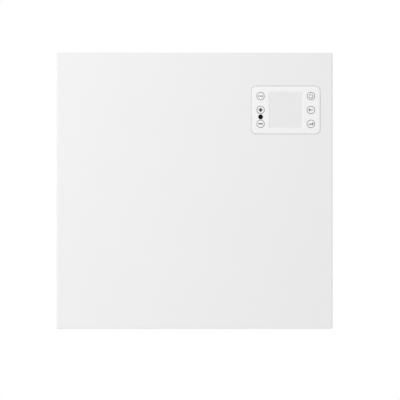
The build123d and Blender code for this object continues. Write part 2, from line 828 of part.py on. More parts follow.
with BuildPart() as control_housing:
    with BuildSketch(at(housing_out)):
        with Locations((pad_x, pad_z)):
            RectangleRounded(housing_width, housing_height, control_corner)
    extrude(amount=panel_inner_out - pad_flange_thickness - housing_out)
    fillet(control_housing.faces().sort_by(Axis.Y)[-1].edges(), 1.5)
    offset(amount=-control_wall, openings=control_housing.faces().sort_by(Axis.Y)[0])
    with BuildSketch(at(housing_out)):
        with Locations((pad_x, pad_z)):
            with GridLocations(post_spacing_x, post_spacing_z, 2, 2):
                Circle(control_post_radius)
    extrude(amount=board_back_out - housing_out)
    with BuildSketch(at(housing_out)):
        with Locations((pad_x, pad_z)):
            with GridLocations(post_spacing_x, post_spacing_z, 2, 2):
                Circle(control_screw_radius + screw_clearance)
    extrude(amount=board_back_out - housing_out, mode=Mode.SUBTRACT)
    with BuildSketch(at(housing_out)):
        with Locations((pad_x, pad_z)):
            with GridLocations(7, 0, 7, 1):
                SlotOverall(housing_height / 3, 3, rotation=90)
        with Locations((pad_x, ribbon_z)):
            Rectangle(ribbon_width + 3, ribbon_thickness + 3)
    extrude(amount=control_wall, mode=Mode.SUBTRACT)

# Screws that close the control unit, heads on the back of the housing
with BuildPart() as control_screws:
    with BuildSketch(at(housing_out)):
        with Locations((pad_x, pad_z)):
            with GridLocations(post_spacing_x, post_spacing_z, 2, 2):
                Circle(control_screw_radius)
    extrude(amount=board_front_out + control_screw_bite - screw_clearance - housing_out)
    with BuildSketch(at(housing_out)):
        with Locations((pad_x, pad_z)):
            with GridLocations(post_spacing_x, post_spacing_z, 2, 2):
                Circle(control_screw_head_radius)
    extrude(amount=-control_screw_head_radius / 2, taper=20)

# Clamps: two stepped strips on the panel's inner face that hold the bezel's flange
clamp_plate_out = panel_inner_out - pad_flange_thickness - clamp_thickness
with BuildPart() as bezel_clamps:
    for side in (-1, 1):
        clamp_edge = pad_z + side * (bezel_flange_height / 2 + 0.3)
        clamp_outer = clamp_edge + side * clamp_foot
        clamp_inner = clamp_edge - side * clamp_overlap
        clamp_bend = clamp_edge + side * clamp_thickness
        with BuildSketch(facing_right(pad_x - clamp_length / 2)):
            with BuildLine():
                Polyline(
                    (-panel_inner_out, clamp_outer),
                    (-panel_inner_out, clamp_edge),
                    (-panel_inner_out + pad_flange_thickness, clamp_edge),
                    (-panel_inner_out + pad_flange_thickness, clamp_inner),
                    (-clamp_plate_out, clamp_inner),
                    (-clamp_plate_out, clamp_bend),
                    (-panel_inner_out + clamp_thickness, clamp_bend),
                    (-panel_inner_out + clamp_thickness, clamp_outer),
                    close=True,
                )
            make_face()
        extrude(amount=clamp_length)

# Partition between the heating chamber and the electronics, flanged to the back
partition_height = casing_height - 2 * casing_sheet - 2 * casing_bend
with BuildPart() as partition:
    with BuildSketch(Plane.XY.offset(-partition_height / 2)):
        with BuildLine():
            Polyline(
                (partition_x, -panel_inner_out + partition_front_gap),
                (partition_x, -back_inner_out),
                (partition_x + partition_flange, -back_inner_out),
                (partition_x + partition_flange, -back_inner_out - partition_sheet),
                (partition_x + partition_sheet, -back_inner_out - partition_sheet),
                (partition_x + partition_sheet, -panel_inner_out + partition_front_gap),
                close=True,
            )
        make_face()
    extrude(amount=partition_height)
    with BuildSketch(at(back_inner_out)):
        with Locations(*rivet_spots[2:5]):
            Circle(rivet_radius + screw_clearance)
    extrude(amount=partition_sheet, mode=Mode.SUBTRACT)
    # A hole for the grommet, and a notch that clears the outlet grille
    with BuildSketch(facing_right(partition_x)):
        with Locations((-duct_out, grommet_z)):
            Circle(grommet_hole_radius)
        with Locations((-duct_out, casing_top - blade_height / 2)):
            Rectangle(outlet_width + 2, blade_height + 4)
    extrude(amount=partition_sheet, mode=Mode.SUBTRACT)

# Grommet in the partition, through which the element's leads pass
grommet_half = partition_sheet / 2 + 2.0
with BuildPart() as lead_grommet:
    with BuildSketch(facing_right(partition_x + partition_sheet / 2 - grommet_half)):
        with Locations((-duct_out, grommet_z)):
            Circle(grommet_hole_radius + grommet_wall)
            Circle(grommet_hole_radius - grommet_wall, mode=Mode.SUBTRACT)
    extrude(amount=2 * grommet_half)
    with BuildSketch(facing_right(partition_x)):
        with Locations((-duct_out, grommet_z)):
            Circle(grommet_hole_radius + 2 * grommet_wall)
            Circle(grommet_hole_radius, mode=Mode.SUBTRACT)
    extrude(amount=partition_sheet, mode=Mode.SUBTRACT)

# Heat shield in front of the element: a channel between the casing's side and the partition
shield_height = casing_height - 2 * shield_end_margin
with BuildPart() as heat_shield:
    with BuildSketch(Plane.XY.offset(-shield_height / 2)):
        with BuildLine():
            Polyline(
                (casing_left, -shield_out + shield_flange),
                (casing_left, -shield_out),
                (partition_x, -shield_out),
                (partition_x, -shield_out + shield_flange),
                (partition_x - shield_sheet, -shield_out + shield_flange),
                (partition_x - shield_sheet, -shield_out + shield_sheet),
                (casing_left + shield_sheet, -shield_out + shield_sheet),
                (casing_left + shield_sheet, -shield_out + shield_flange),
                close=True,
            )
        make_face()
    extrude(amount=shield_height)

# Heating element: a tube with four long fins, each crossed by shorter ones
with BuildPart() as heating_element:
    with BuildSketch(facing_right(chamber_x - element_length / 2)):
        with Locations((-element_out, element_z)):
            Circle(element_tube_radius)
            for angle in (fin_angle, 180 - fin_angle, 180 + fin_angle, -fin_angle):
                direction = Vector(cos(radians(angle)), sin(radians(angle)))
                with Locations(direction * fin_length / 2):
                    Rectangle(fin_length, fin_thickness, rotation=angle)
                for share, across in ((0.52, 9.0), (0.76, 12.0), (1.0, 14.0)):
                    with Locations(direction * fin_length * share):
                        Rectangle(finlet_thickness, across, rotation=angle)
            Circle(rod_radius + rod_fit, mode=Mode.SUBTRACT)
    extrude(amount=element_length)

# Sheathed rod through the element, with a pin and a push-on tab at each end
rod_half = element_length / 2 + rod_overhang
with BuildPart() as element_rod:
    with BuildSketch(facing_right(chamber_x - rod_half)):
        with Locations((-element_out, element_z)):
            Circle(rod_radius)
    extrude(amount=2 * rod_half)
    for side in (-1, 1):
        with BuildSketch(facing_right(chamber_x + side * rod_half)):
            with Locations((-element_out, element_z)):
                Circle(rod_pin_radius)
        extrude(amount=side * rod_pin_length)
        with BuildSketch(facing_right(chamber_x + side * (rod_half + rod_pin_length / 2))):
            with Locations((-element_out, element_z)):
                Rectangle(tab_thickness, tab_width)
        extrude(amount=side * (rod_pin_length / 2 + tab_length))

# Holders for the two ends of the element: an upright plate with a foot on the back
bushes = {}
holders = {}
for place, side in (("left", -1), ("right", 1)):
    bush_x = chamber_x + side * bush_offset
    with BuildPart() as bush:
        with BuildSketch(facing_right(bush_x - bush_length / 2)):
            with Locations((-element_out, element_z)):
                Circle(bush_radius + bush_collar)
        extrude(amount=bush_length)
        with BuildSketch(facing_right(bush_x - holder_sheet / 2)):
            with Locations((-element_out, element_z)):
                Circle(bush_radius + 2 * bush_collar)
                Circle(bush_radius, mode=Mode.SUBTRACT)
        extrude(amount=holder_sheet, mode=Mode.SUBTRACT)
        with BuildSketch(facing_right(bush_x - bush_length / 2)):
            with Locations((-element_out, element_z)):
                Circle(rod_radius + rod_fit)
        extrude(amount=bush_length, mode=Mode.SUBTRACT)
    bushes[f"element_bush_{place}"] = bush
    plate_depth = element_out + holder_head - back_inner_out
    with BuildPart() as holder:
        with BuildSketch(facing_right(bush_x - holder_sheet / 2)):
            with Locations((-back_inner_out - plate_depth / 2, element_z)):
                Rectangle(plate_depth, holder_width)
        extrude(amount=holder_sheet)
        fillet(
            holder.edges().filter_by(Axis.X).group_by(Axis.Y)[0], holder_head - bush_collar / 2
        )
        with BuildSketch(facing_right(bush_x - holder_sheet / 2)):
            with Locations((-element_out, element_z)):
                Circle(bush_radius + rod_fit)
        extrude(amount=holder_sheet, mode=Mode.SUBTRACT)
        with BuildSketch(at(back_inner_out)):
            with Locations((bush_x - side * holder_foot / 2, element_z)):
                Rectangle(holder_foot, holder_width)
                Circle(rivet_radius + screw_clearance, mode=Mode.SUBTRACT)
        extrude(amount=holder_sheet)
    holders[f"element_holder_{place}"] = holder

# Over-temperature cutout above the element: a disc on a plate, with two push-on tabs
with BuildPart() as thermal_cutout:
    with BuildSketch(at(back_inner_out)):
        with Locations((chamber_x, cutout_z)):
            SlotOverall(cutout_plate_length, cutout_plate_width)
    extrude(amount=cutout_plate_thickness)
    with BuildSketch(at(back_inner_out)):
        with Locations((chamber_x, cutout_z)):
            Circle(cutout_radius)
    extrude(amount=cutout_plate_thickness + cutout_height)
    fillet(thermal_cutout.faces().sort_by(Axis.Y)[0].edges(), 1.0)
    with BuildSketch(at(back_inner_out + cutout_height / 2)):
        with Locations((chamber_x, cutout_z)):
            with GridLocations(cutout_radius, 0, 2, 1):
                Rectangle(tab_thickness, tab_width)
    extrude(amount=cutout_height / 2 + tab_length)
    with BuildSketch(at(back_inner_out)):
        with Locations(*rivet_spots[5:]):
            Circle(rivet_radius + screw_clearance)
    extrude(amount=cutout_plate_thickness, mode=Mode.SUBTRACT)

# Supply board on four standoffs, with its parts
supply_back_out = back_inner_out + standoff_height
supply_front_out = supply_back_out + board_thickness
supply_hole_x = supply_width - 2 * board_hole_inset
supply_hole_z = supply_height - 2 * board_hole_inset
supply_x = compartment_x + partition_flange / 2

with BuildPart() as board_standoffs:
    with BuildSketch(at(back_inner_out)):
        with Locations((supply_x, supply_z)):
            with GridLocations(supply_hole_x, supply_hole_z, 2, 2):
                RegularPolygon(standoff_radius, 6)
                Circle(board_screw_radius + screw_clearance, mode=Mode.SUBTRACT)
    extrude(amount=standoff_height)

with BuildPart() as supply_board:
    with BuildSketch(at(supply_back_out)):
        with Locations((supply_x, supply_z)):
            Rectangle(supply_width, supply_height)
            with GridLocations(supply_hole_x, supply_hole_z, 2, 2):
                Circle(board_screw_radius + screw_clearance, mode=Mode.SUBTRACT)
    extrude(amount=board_thickness)

with BuildPart() as board_screws:
    with BuildSketch(at(supply_front_out)):
        with Locations((supply_x, supply_z)):
            with GridLocations(supply_hole_x, supply_hole_z, 2, 2):
                Circle(board_screw_head_radius)
    extrude(amount=board_screw_head_height, taper=20)
    with BuildSketch(at(supply_front_out)):
        with Locations((supply_x, supply_z)):
            with GridLocations(supply_hole_x, supply_hole_z, 2, 2):
                Circle(board_screw_radius)
    extrude(amount=-(board_thickness + standoff_height / 2))

with BuildPart() as relay:
    with BuildSketch(at(supply_front_out)):
        with Locations((supply_x - supply_width / 5, supply_z + supply_height / 4)):
            Rectangle(relay_size[0], relay_size[1])
    extrude(amount=relay_size[2])
    fillet(relay.edges().filter_by(Axis.Y), 1.0)

with BuildPart() as transformer:
    with BuildSketch(at(supply_front_out)):
        with Locations((supply_x + supply_width / 5, supply_z + supply_height / 8)):
            Rectangle(transformer_size[0], transformer_size[1])
    extrude(amount=transformer_size[2])
    fillet(transformer.edges().filter_by(Axis.Y), 1.5)

with BuildPart() as capacitor:
    with BuildSketch(at(supply_front_out)):
        with Locations((supply_x - supply_width / 5, supply_z)):
            Rectangle(capacitor_size[0], capacitor_size[1])
    extrude(amount=capacitor_size[2])
    fillet(capacitor.edges().filter_by(Axis.Y), 1.0)

block_width = block_ways * block_way_width
with BuildPart() as board_terminals:
    with BuildSketch(at(supply_front_out)):
        with Locations((supply_x, supply_z - supply_height / 2 + block_depth / 2 + 1)):
            Rectangle(block_width, block_depth)
    extrude(amount=block_height)
    with BuildSketch(at(supply_front_out + block_height)):
        with Locations((supply_x, supply_z - supply_height / 2 + block_depth / 2 + 1)):
            with GridLocations(block_way_width, 0, block_ways, 1):
                Circle(block_way_width / 3)
    extrude(amount=-block_height / 4, mode=Mode.SUBTRACT)

# Mains terminal block on the back, above the cord entry
terminal_width = terminal_ways * terminal_way_width
with BuildPart() as mains_terminal:
    with BuildSketch(at(back_inner_out)):
        with Locations((compartment_x, terminal_z)):
            Rectangle(terminal_width, terminal_height)
    extrude(amount=terminal_depth / 2)
    with BuildSketch(at(back_inner_out)):
        with Locations((compartment_x, terminal_z)):
            with GridLocations(terminal_way_width, 0, terminal_ways, 1):
                Rectangle(terminal_way_width * 0.75, terminal_height)
    extrude(amount=terminal_depth)
    with BuildSketch(at(back_inner_out + terminal_depth)):
        with Locations((compartment_x, terminal_z)):
            with GridLocations(terminal_way_width, terminal_height / 2, terminal_ways, 2):
                Circle(terminal_way_width / 4)
    extrude(amount=-terminal_depth / 4, mode=Mode.SUBTRACT)

# Earth stud on the back, with its nut
with BuildPart() as earth_stud:
    with BuildSketch(at(back_inner_out)):
        with Locations((compartment_x, earth_z)):
            Circle(earth_stud_radius)
    extrude(amount=earth_stud_length)
    with BuildSketch(at(back_inner_out)):
        with Locations((compartment_x, earth_z)):
            RegularPolygon(earth_nut_flats / 2, 6, major_radius=False)
    extrude(amount=earth_nut_height)

# Cord entry cover under the compartment, with holes for the gland and the sensor
gland_x = compartment_x + gland_offset
sensor_x = compartment_x + sensor_offset
cover_under = casing_floor - entry_cover_thickness

with BuildPart() as entry_cover:
    with BuildSketch(Plane.XY.offset(cover_under)):
        with Locations((compartment_x, -duct_out)):
            RectangleRounded(entry_cover_length, entry_cover_width, entry_cover_overlap / 2)
            with GridLocations(2 * entry_screw_x, 0, 2, 1):
                Circle(grille_screw_radius + screw_clearance, mode=Mode.SUBTRACT)
        with Locations((gland_x, -duct_out)):
            Circle(gland_thread_radius + gland_thread_fit, mode=Mode.SUBTRACT)
        with Locations((sensor_x, -duct_out)):
            Circle(sensor_radius + sensor_fit, mode=Mode.SUBTRACT)
    extrude(amount=entry_cover_thickness)

with BuildPart() as cord_gland:
    with BuildSketch(Plane.XY.offset(cover_under)):
        with Locations((gland_x, -duct_out)):
            Circle(gland_thread_radius)
    extrude(amount=gland_thread_length)
    with BuildSketch(Plane.XY.offset(cover_under)):
        with Locations((gland_x, -duct_out)):
            Circle(gland_flats / 2)
    extrude(amount=-gland_head_height)
    fillet(cord_gland.faces().sort_by(Axis.Z)[0].edges(), 2.5)
    with BuildSketch(Plane.XY.offset(cover_under - gland_head_height)):
        with Locations((gland_x, -duct_out)):
            Circle(gland_bore_radius)
    extrude(amount=gland_head_height + gland_thread_length, mode=Mode.SUBTRACT)

with BuildPart() as gland_nut:
    with BuildSketch(Plane.XY.offset(casing_floor)):
        with Locations((gland_x, -duct_out)):
            RegularPolygon(gland_flats / 2, 6, major_radius=False)
            Circle(gland_thread_radius + gland_thread_fit, mode=Mode.SUBTRACT)
    extrude(amount=gland_nut_height)

with BuildPart() as room_sensor:
    with BuildSketch(Plane.XY.offset(casing_floor - sensor_proud)):
        with Locations((sensor_x, -duct_out)):
            Circle(sensor_radius)
    extrude(amount=sensor_length)
    fillet(room_sensor.faces().sort_by(Axis.Z)[0].edges(), sensor_radius / 2)
    with BuildSketch(Plane.XY.offset(casing_floor)):
        with Locations((sensor_x, -duct_out)):
            Circle(sensor_radius + sensor_collar)
    extrude(amount=sensor_collar)

# Rocker switch in the right-hand side: a body with a well, and a rocker on two pins
with BuildPart() as switch_body:
    with BuildSketch(facing_right(casing_right)):
        with Locations((-duct_out, switch_z)):
            RectangleRounded(rocker_flange_width, rocker_flange_height, 1.5)
    extrude(amount=rocker_flange_thickness)
    fillet(switch_body.faces().sort_by(Axis.X)[-1].edges(), 0.8)
    with BuildSketch(facing_right(casing_right)):
        with Locations((-duct_out, switch_z)):
            Rectangle(rocker_body_width, rocker_body_height)
    extrude(amount=-rocker_body_depth)
    with BuildSketch(facing_right(casing_right + rocker_flange_thickness)):
        with Locations((-duct_out, switch_z)):
            Rectangle(rocker_width + 2 * rocker_clearance, rocker_length + 2 * rocker_clearance)
    extrude(amount=-(rocker_flange_thickness + rocker_body_depth * 0.6), mode=Mode.SUBTRACT)
    pivot_x = casing_right - rocker_pivot_depth
    with BuildSketch(at(duct_out - rocker_width / 2 - rocker_clearance - rocker_pin_length)):
        with Locations((pivot_x, switch_z)):
            Circle(rocker_pin_radius + rocker_pin_fit)
    extrude(
        amount=rocker_width + 2 * rocker_clearance + 2 * rocker_pin_length, mode=Mode.SUBTRACT
    )
    with BuildSketch(facing_right(casing_right - rocker_body_depth)):
        with Locations((-duct_out, switch_z)):
            with GridLocations(0, rocker_body_height / 3, 1, 3):
                Rectangle(tab_thickness, tab_width)
    extrude(amount=-tab_length)

# The rocker's two ends are arcs about its pins, so that they clear the well at every angle
rocker_frame = Plane(
    origin=(pivot_x, -duct_out, switch_z),
    x_dir=(cos(radians(rocker_tilt)), 0, -sin(radians(rocker_tilt))),
    z_dir=(0, -1, 0),
)
rocker_radius = rocker_length / 2
rocker_top = rocker_pivot_depth + rocker_flange_thickness + rocker_proud
rocker_tip = sqrt(rocker_radius**2 - rocker_top**2)
rocker_half_angle = asin(rocker_top / rocker_radius) / 2
rocker_mid = (rocker_radius * sin(rocker_half_angle), rocker_radius * cos(rocker_half_angle))
with BuildPart() as switch_rocker:
    with BuildSketch(rocker_frame.offset(-rocker_width / 2)):
        with BuildLine():
            Line((-rocker_pivot_depth, -rocker_radius / 2), (0, -rocker_radius))
            ThreePointArc(
                (0, -rocker_radius), (rocker_mid[0], -rocker_mid[1]), (rocker_top, -rocker_tip)
            )
            ThreePointArc(
                (rocker_top, -rocker_tip), (rocker_top - rocker_proud / 3, 0), (rocker_top, rocker_tip)
            )
            ThreePointArc((rocker_top, rocker_tip), rocker_mid, (0, rocker_radius))
            Line((0, rocker_radius), (-rocker_pivot_depth, rocker_radius / 2))
            Line((-rocker_pivot_depth, rocker_radius / 2), (-rocker_pivot_depth, -rocker_radius / 2))
        make_face()
    extrude(amount=rocker_width)
    with BuildSketch(rocker_frame.offset(-rocker_width / 2 - rocker_pin_length)):
        Circle(rocker_pin_radius)
    extrude(amount=rocker_width + 2 * rocker_pin_length)

# Sockets on the supply board for the control ribbon and the sensor lead
sensor_header_x = supply_x + supply_width * 0.29
sensor_header_z = supply_z - supply_height / 2 + header_depth / 2 + 1
ribbon_header_z = supply_z + supply_height / 2 - header_depth - 1
with BuildPart() as board_sockets:
    with BuildSketch(at(supply_front_out)):
        with Locations((pad_x, ribbon_header_z)):
            Rectangle(header_width, header_depth)
        with Locations((sensor_header_x, sensor_header_z)):
            Rectangle(header_depth, header_depth)
    extrude(amount=header_height)

# Ribbon cable from the supply board into the control housing
ribbon_out = (supply_front_out + header_height + housing_out) / 2
half_ribbon = ribbon_thickness / 2
with BuildPart() as control_ribbon:
    with BuildSketch(facing_right(pad_x - ribbon_width / 2)):
        with BuildLine():
            Polyline(
                (-supply_front_out - header_height, ribbon_header_z - half_ribbon),
                (-ribbon_out - half_ribbon, ribbon_header_z - half_ribbon),
                (-ribbon_out - half_ribbon, ribbon_z - half_ribbon),
                (-board_back_out, ribbon_z - half_ribbon),
                (-board_back_out, ribbon_z + half_ribbon),
                (-ribbon_out + half_ribbon, ribbon_z + half_ribbon),
                (-ribbon_out + half_ribbon, ribbon_header_z + half_ribbon),
                (-supply_front_out - header_height, ribbon_header_z + half_ribbon),
                close=True,
            )
        make_face()
    extrude(amount=ribbon_width)

# Leads in the heating chamber: rod to cutout, cutout to board, rod to board
rod_end = rod_half + rod_pin_length + tab_length
rod_left = spot(chamber_x - rod_end, element_out, element_z)
rod_right = spot(chamber_x + rod_end, element_out, element_z)
cutout_tab_out = back_inner_out + cutout_height + tab_length
cutout_left = spot(chamber_x - cutout_radius, cutout_tab_out, cutout_z)
cutout_right = spot(chamber_x + cutout_radius, cutout_tab_out, cutout_z)
first_way_x = supply_x - (block_ways - 1) * block_way_width / 2
block_under_z = supply_z - supply_height / 2 + 1
link_x = chamber_x - rod_end - 2 * lead_bend
link_out = cutout_tab_out + 3 * lead_bend
drop_x = partition_x * 0.3
upper_out = duct_out - lead_radius
lower_out = duct_out - 2 * lead_radius
upper_z = grommet_z + 1.5 * lead_radius
lower_z = grommet_z - 1.5 * lead_radius
riser_x = chamber_x + rod_end + 1.5 * lead_bend
with BuildPart() as chamber_leads:
    push_sleeve(rod_left, (-1, 0, 0))
    push_sleeve(cutout_left, (0, -1, 0))
    run_lead(
        [
            rod_left,
            spot(link_x, element_out, element_z),
            spot(link_x, link_out, element_z + 30),
            spot(link_x, link_out, cutout_z),
            spot(chamber_x - cutout_radius, link_out, cutout_z),
            cutout_left,
        ]
    )
    push_sleeve(cutout_right, (0, -1, 0))
    run_lead(
        [
            cutout_right,
            spot(chamber_x + cutout_radius, link_out, cutout_z),
            spot(drop_x, link_out, cutout_z),
            spot(drop_x, upper_out, upper_z + 20),
            spot(drop_x, upper_out, upper_z),
            spot(first_way_x, upper_out, upper_z),
            spot(first_way_x, upper_out, block_under_z),
        ]
    )
    push_sleeve(rod_right, (1, 0, 0))
    run_lead(
        [
            rod_right,
            spot(riser_x, element_out, element_z),
            spot(riser_x, element_out, lower_z),
            spot(riser_x, lower_out, lower_z),
            spot(first_way_x + block_way_width, lower_out, lower_z),
            spot(first_way_x + block_way_width, lower_out, block_under_z),
        ]
    )

# Mains leads: neutral straight to the board, live by way of the rocker switch
terminal_lead_out = back_inner_out + terminal_depth / 2
block_mid_out = supply_front_out + block_height / 2
terminal_top_z = terminal_z + terminal_height / 2
neutral_x = first_way_x + 2 * block_way_width
live_x = first_way_x + 4 * block_way_width
with BuildPart() as neutral_lead:
    run_lead(
        [
            spot(compartment_x, terminal_lead_out, terminal_top_z),
            spot(compartment_x, terminal_lead_out, terminal_top_z + 11),
            spot(neutral_x, block_mid_out, block_under_z - 20),
            spot(neutral_x, block_mid_out, block_under_z),
        ]
    )

switch_tab_x = casing_right - rocker_body_depth - tab_length
switch_tab_z = switch_z + rocker_body_height / 3
terminal_live_x = compartment_x + terminal_way_width
feed_x = switch_tab_x - 1.7 * lead_bend
return_x = switch_tab_x - 3.4 * lead_bend
with BuildPart() as live_leads:
    push_sleeve(spot(switch_tab_x, duct_out, switch_tab_z), (-1, 0, 0))
    run_lead(
        [
            spot(terminal_live_x, terminal_lead_out, terminal_top_z),
            spot(terminal_live_x, terminal_lead_out, terminal_top_z + 9),
            spot(feed_x, terminal_lead_out, terminal_top_z + 9),
            spot(feed_x, terminal_lead_out, switch_tab_z),
            spot(feed_x, duct_out, switch_tab_z),
            spot(switch_tab_x, duct_out, switch_tab_z),
        ]
    )
    push_sleeve(spot(switch_tab_x, duct_out, switch_z), (-1, 0, 0))
    run_lead(
        [
            spot(switch_tab_x, duct_out, switch_z),
            spot(return_x, duct_out, switch_z),
            spot(return_x, duct_out, block_under_z - 33),
            spot(live_x, block_mid_out, block_under_z - 18),
            spot(live_x, block_mid_out, block_under_z),
        ]
    )

# Earth lead from the terminal block to a ring under the nut's face on the stud
ring_out = back_inner_out + earth_nut_height
earth_way_x = compartment_x - terminal_way_width
earth_lead_out = ring_out + lead_radius
with BuildPart() as earth_lead:
    run_lead(
        [
            spot(earth_way_x, terminal_lead_out, terminal_z - terminal_height / 2),
            spot(earth_way_x, terminal_lead_out, terminal_z - terminal_height / 2 - 20),
            spot(earth_way_x, earth_lead_out, earth_z),
            spot(compartment_x - earth_nut_flats / 2 - 0.4, earth_lead_out, earth_z),
        ]
    )
    with BuildSketch(at(ring_out)):
        with Locations((compartment_x, earth_z)):
            Circle(ring_radius)
            Circle(earth_stud_radius + sleeve_fit, mode=Mode.SUBTRACT)
    extrude(amount=ring_thickness)

# Sensor lead from the room sensor up to its socket
sensor_top_z = casing_floor - sensor_proud + sensor_length
with BuildPart() as sensor_lead:
    run_lead(
        [
            spot(sensor_x, duct_out, sensor_top_z),
            spot(sensor_x, duct_out, sensor_top_z + 11),
            spot(sensor_header_x, supply_front_out + header_height / 2, sensor_top_z + 25),
            spot(
                sensor_header_x,
                supply_front_out + header_height / 2,
                sensor_header_z - header_depth / 2,
            ),
        ],
        sensor_lead_radius,
    )

# Every piece under the name it is known by
pieces = {
    "front_panel": front_panel,
    "rear_casing": rear_casing,
    "panel_screws": panel_screws,
    "outlet_grille": outlet_grille,
    "intake_grille": intake_grille,
    "grille_screws": grille_screws,
    "back_rivets": back_rivets,
    "wall_bracket": wall_bracket,
    **latches,
    "control_bezel": control_bezel,
    "display_window": display_window,
    "display_module": display_module,
    **keys,
    "eye_lens": eye_lens,
    "eye_receiver": eye_receiver,
    "key_switches": key_switches,
    "control_board": control_board,
    "control_housing": control_housing,
    "control_screws": control_screws,
    "bezel_clamps": bezel_clamps,
    "partition": partition,
    "lead_grommet": lead_grommet,
    "heat_shield": heat_shield,
    "heating_element": heating_element,
    "element_rod": element_rod,
    **bushes,
    **holders,
    "thermal_cutout": thermal_cutout,
    "board_standoffs": board_standoffs,
    "supply_board": supply_board,
    "board_screws": board_screws,
    "relay": relay,
    "transformer": transformer,
    "capacitor": capacitor,
    "board_terminals": board_terminals,
    "mains_terminal": mains_terminal,
    "earth_stud": earth_stud,
    "entry_cover": entry_cover,
    "cord_gland": cord_gland,
    "gland_nut": gland_nut,
    "room_sensor": room_sensor,
    "switch_body": switch_body,
    "switch_rocker": switch_rocker,
    "board_sockets": board_sockets,
    "control_ribbon": control_ribbon,
    "chamber_leads": chamber_leads,
    "neutral_lead": neutral_lead,
    "live_leads": live_leads,
    "earth_lead": earth_lead,
    "sensor_lead": sensor_lead,
}

os.makedirs("parts", exist_ok=True)
for name, piece in pieces.items():
    piece.part.label = name
    export_step(piece.part, f"parts/{name}.step")
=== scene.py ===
"""Finishes, printed symbols, screws and studio of a wall-hung convector heater.

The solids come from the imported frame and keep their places. This file gives each of them a
finish and adds what is too fine for them: the symbols and rings of the keys, the marks of the
rocker, the seal round the display, the cross recesses and threads of the screws, and the grips
and thread of the cord gland.
"""

import json
import math

import bmesh
import bpy
import numpy as np
from bpy.props import FloatProperty, FloatVectorProperty, IntProperty, PointerProperty
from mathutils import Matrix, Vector


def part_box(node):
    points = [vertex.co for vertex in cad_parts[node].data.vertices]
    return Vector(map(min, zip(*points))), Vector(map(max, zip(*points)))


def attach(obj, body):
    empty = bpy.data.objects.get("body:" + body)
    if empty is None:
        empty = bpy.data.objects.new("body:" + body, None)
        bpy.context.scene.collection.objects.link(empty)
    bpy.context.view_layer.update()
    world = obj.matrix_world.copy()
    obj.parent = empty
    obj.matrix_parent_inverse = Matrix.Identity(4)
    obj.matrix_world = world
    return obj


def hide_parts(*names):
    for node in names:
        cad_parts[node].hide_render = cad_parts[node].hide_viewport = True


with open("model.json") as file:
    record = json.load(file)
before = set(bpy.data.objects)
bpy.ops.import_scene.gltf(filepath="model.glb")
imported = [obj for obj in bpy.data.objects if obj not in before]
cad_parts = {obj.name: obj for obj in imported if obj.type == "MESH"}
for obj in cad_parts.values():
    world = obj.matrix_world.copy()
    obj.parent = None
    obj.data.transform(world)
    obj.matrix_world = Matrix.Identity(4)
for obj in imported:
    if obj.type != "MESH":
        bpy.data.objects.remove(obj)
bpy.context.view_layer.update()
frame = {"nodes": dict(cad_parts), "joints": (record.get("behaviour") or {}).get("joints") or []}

bl_info = {
    "name": "Convector heater",
    "version": (1, 0, 0),
    "blender": (4, 5, 0),
    "location": "3D View > Sidebar > Heater",
    "description": "Finishes, symbols, screws and studio of a wall-hung convector heater",
    "category": "Object",
}

MM = 0.001
PER_METRE = 1000.0
KEYS = ("key_menu", "key_plus", "key_minus", "key_power", "key_back", "key_level")


# Shader arithmetic


class Field:
    """A value that changes over a surface. Arithmetic on it adds Math nodes."""

    def __init__(self, finish, socket):
        self.finish = finish
        self.socket = socket

    def math(self, operation, first, second):
        settings = {"operation": operation}
        return self.finish.node("ShaderNodeMath", settings, {0: first, 1: second})

    def __add__(self, other):
        return self.math("ADD", self, other)

    def __sub__(self, other):
        return self.math("SUBTRACT", self, other)

    def __mul__(self, other):
        return self.math("MULTIPLY", self, other)

    def __gt__(self, other):
        return self.math("GREATER_THAN", self, other)

    def __radd__(self, other):
        return self.math("ADD", other, self)

    def __rsub__(self, other):
        return self.math("SUBTRACT", other, self)


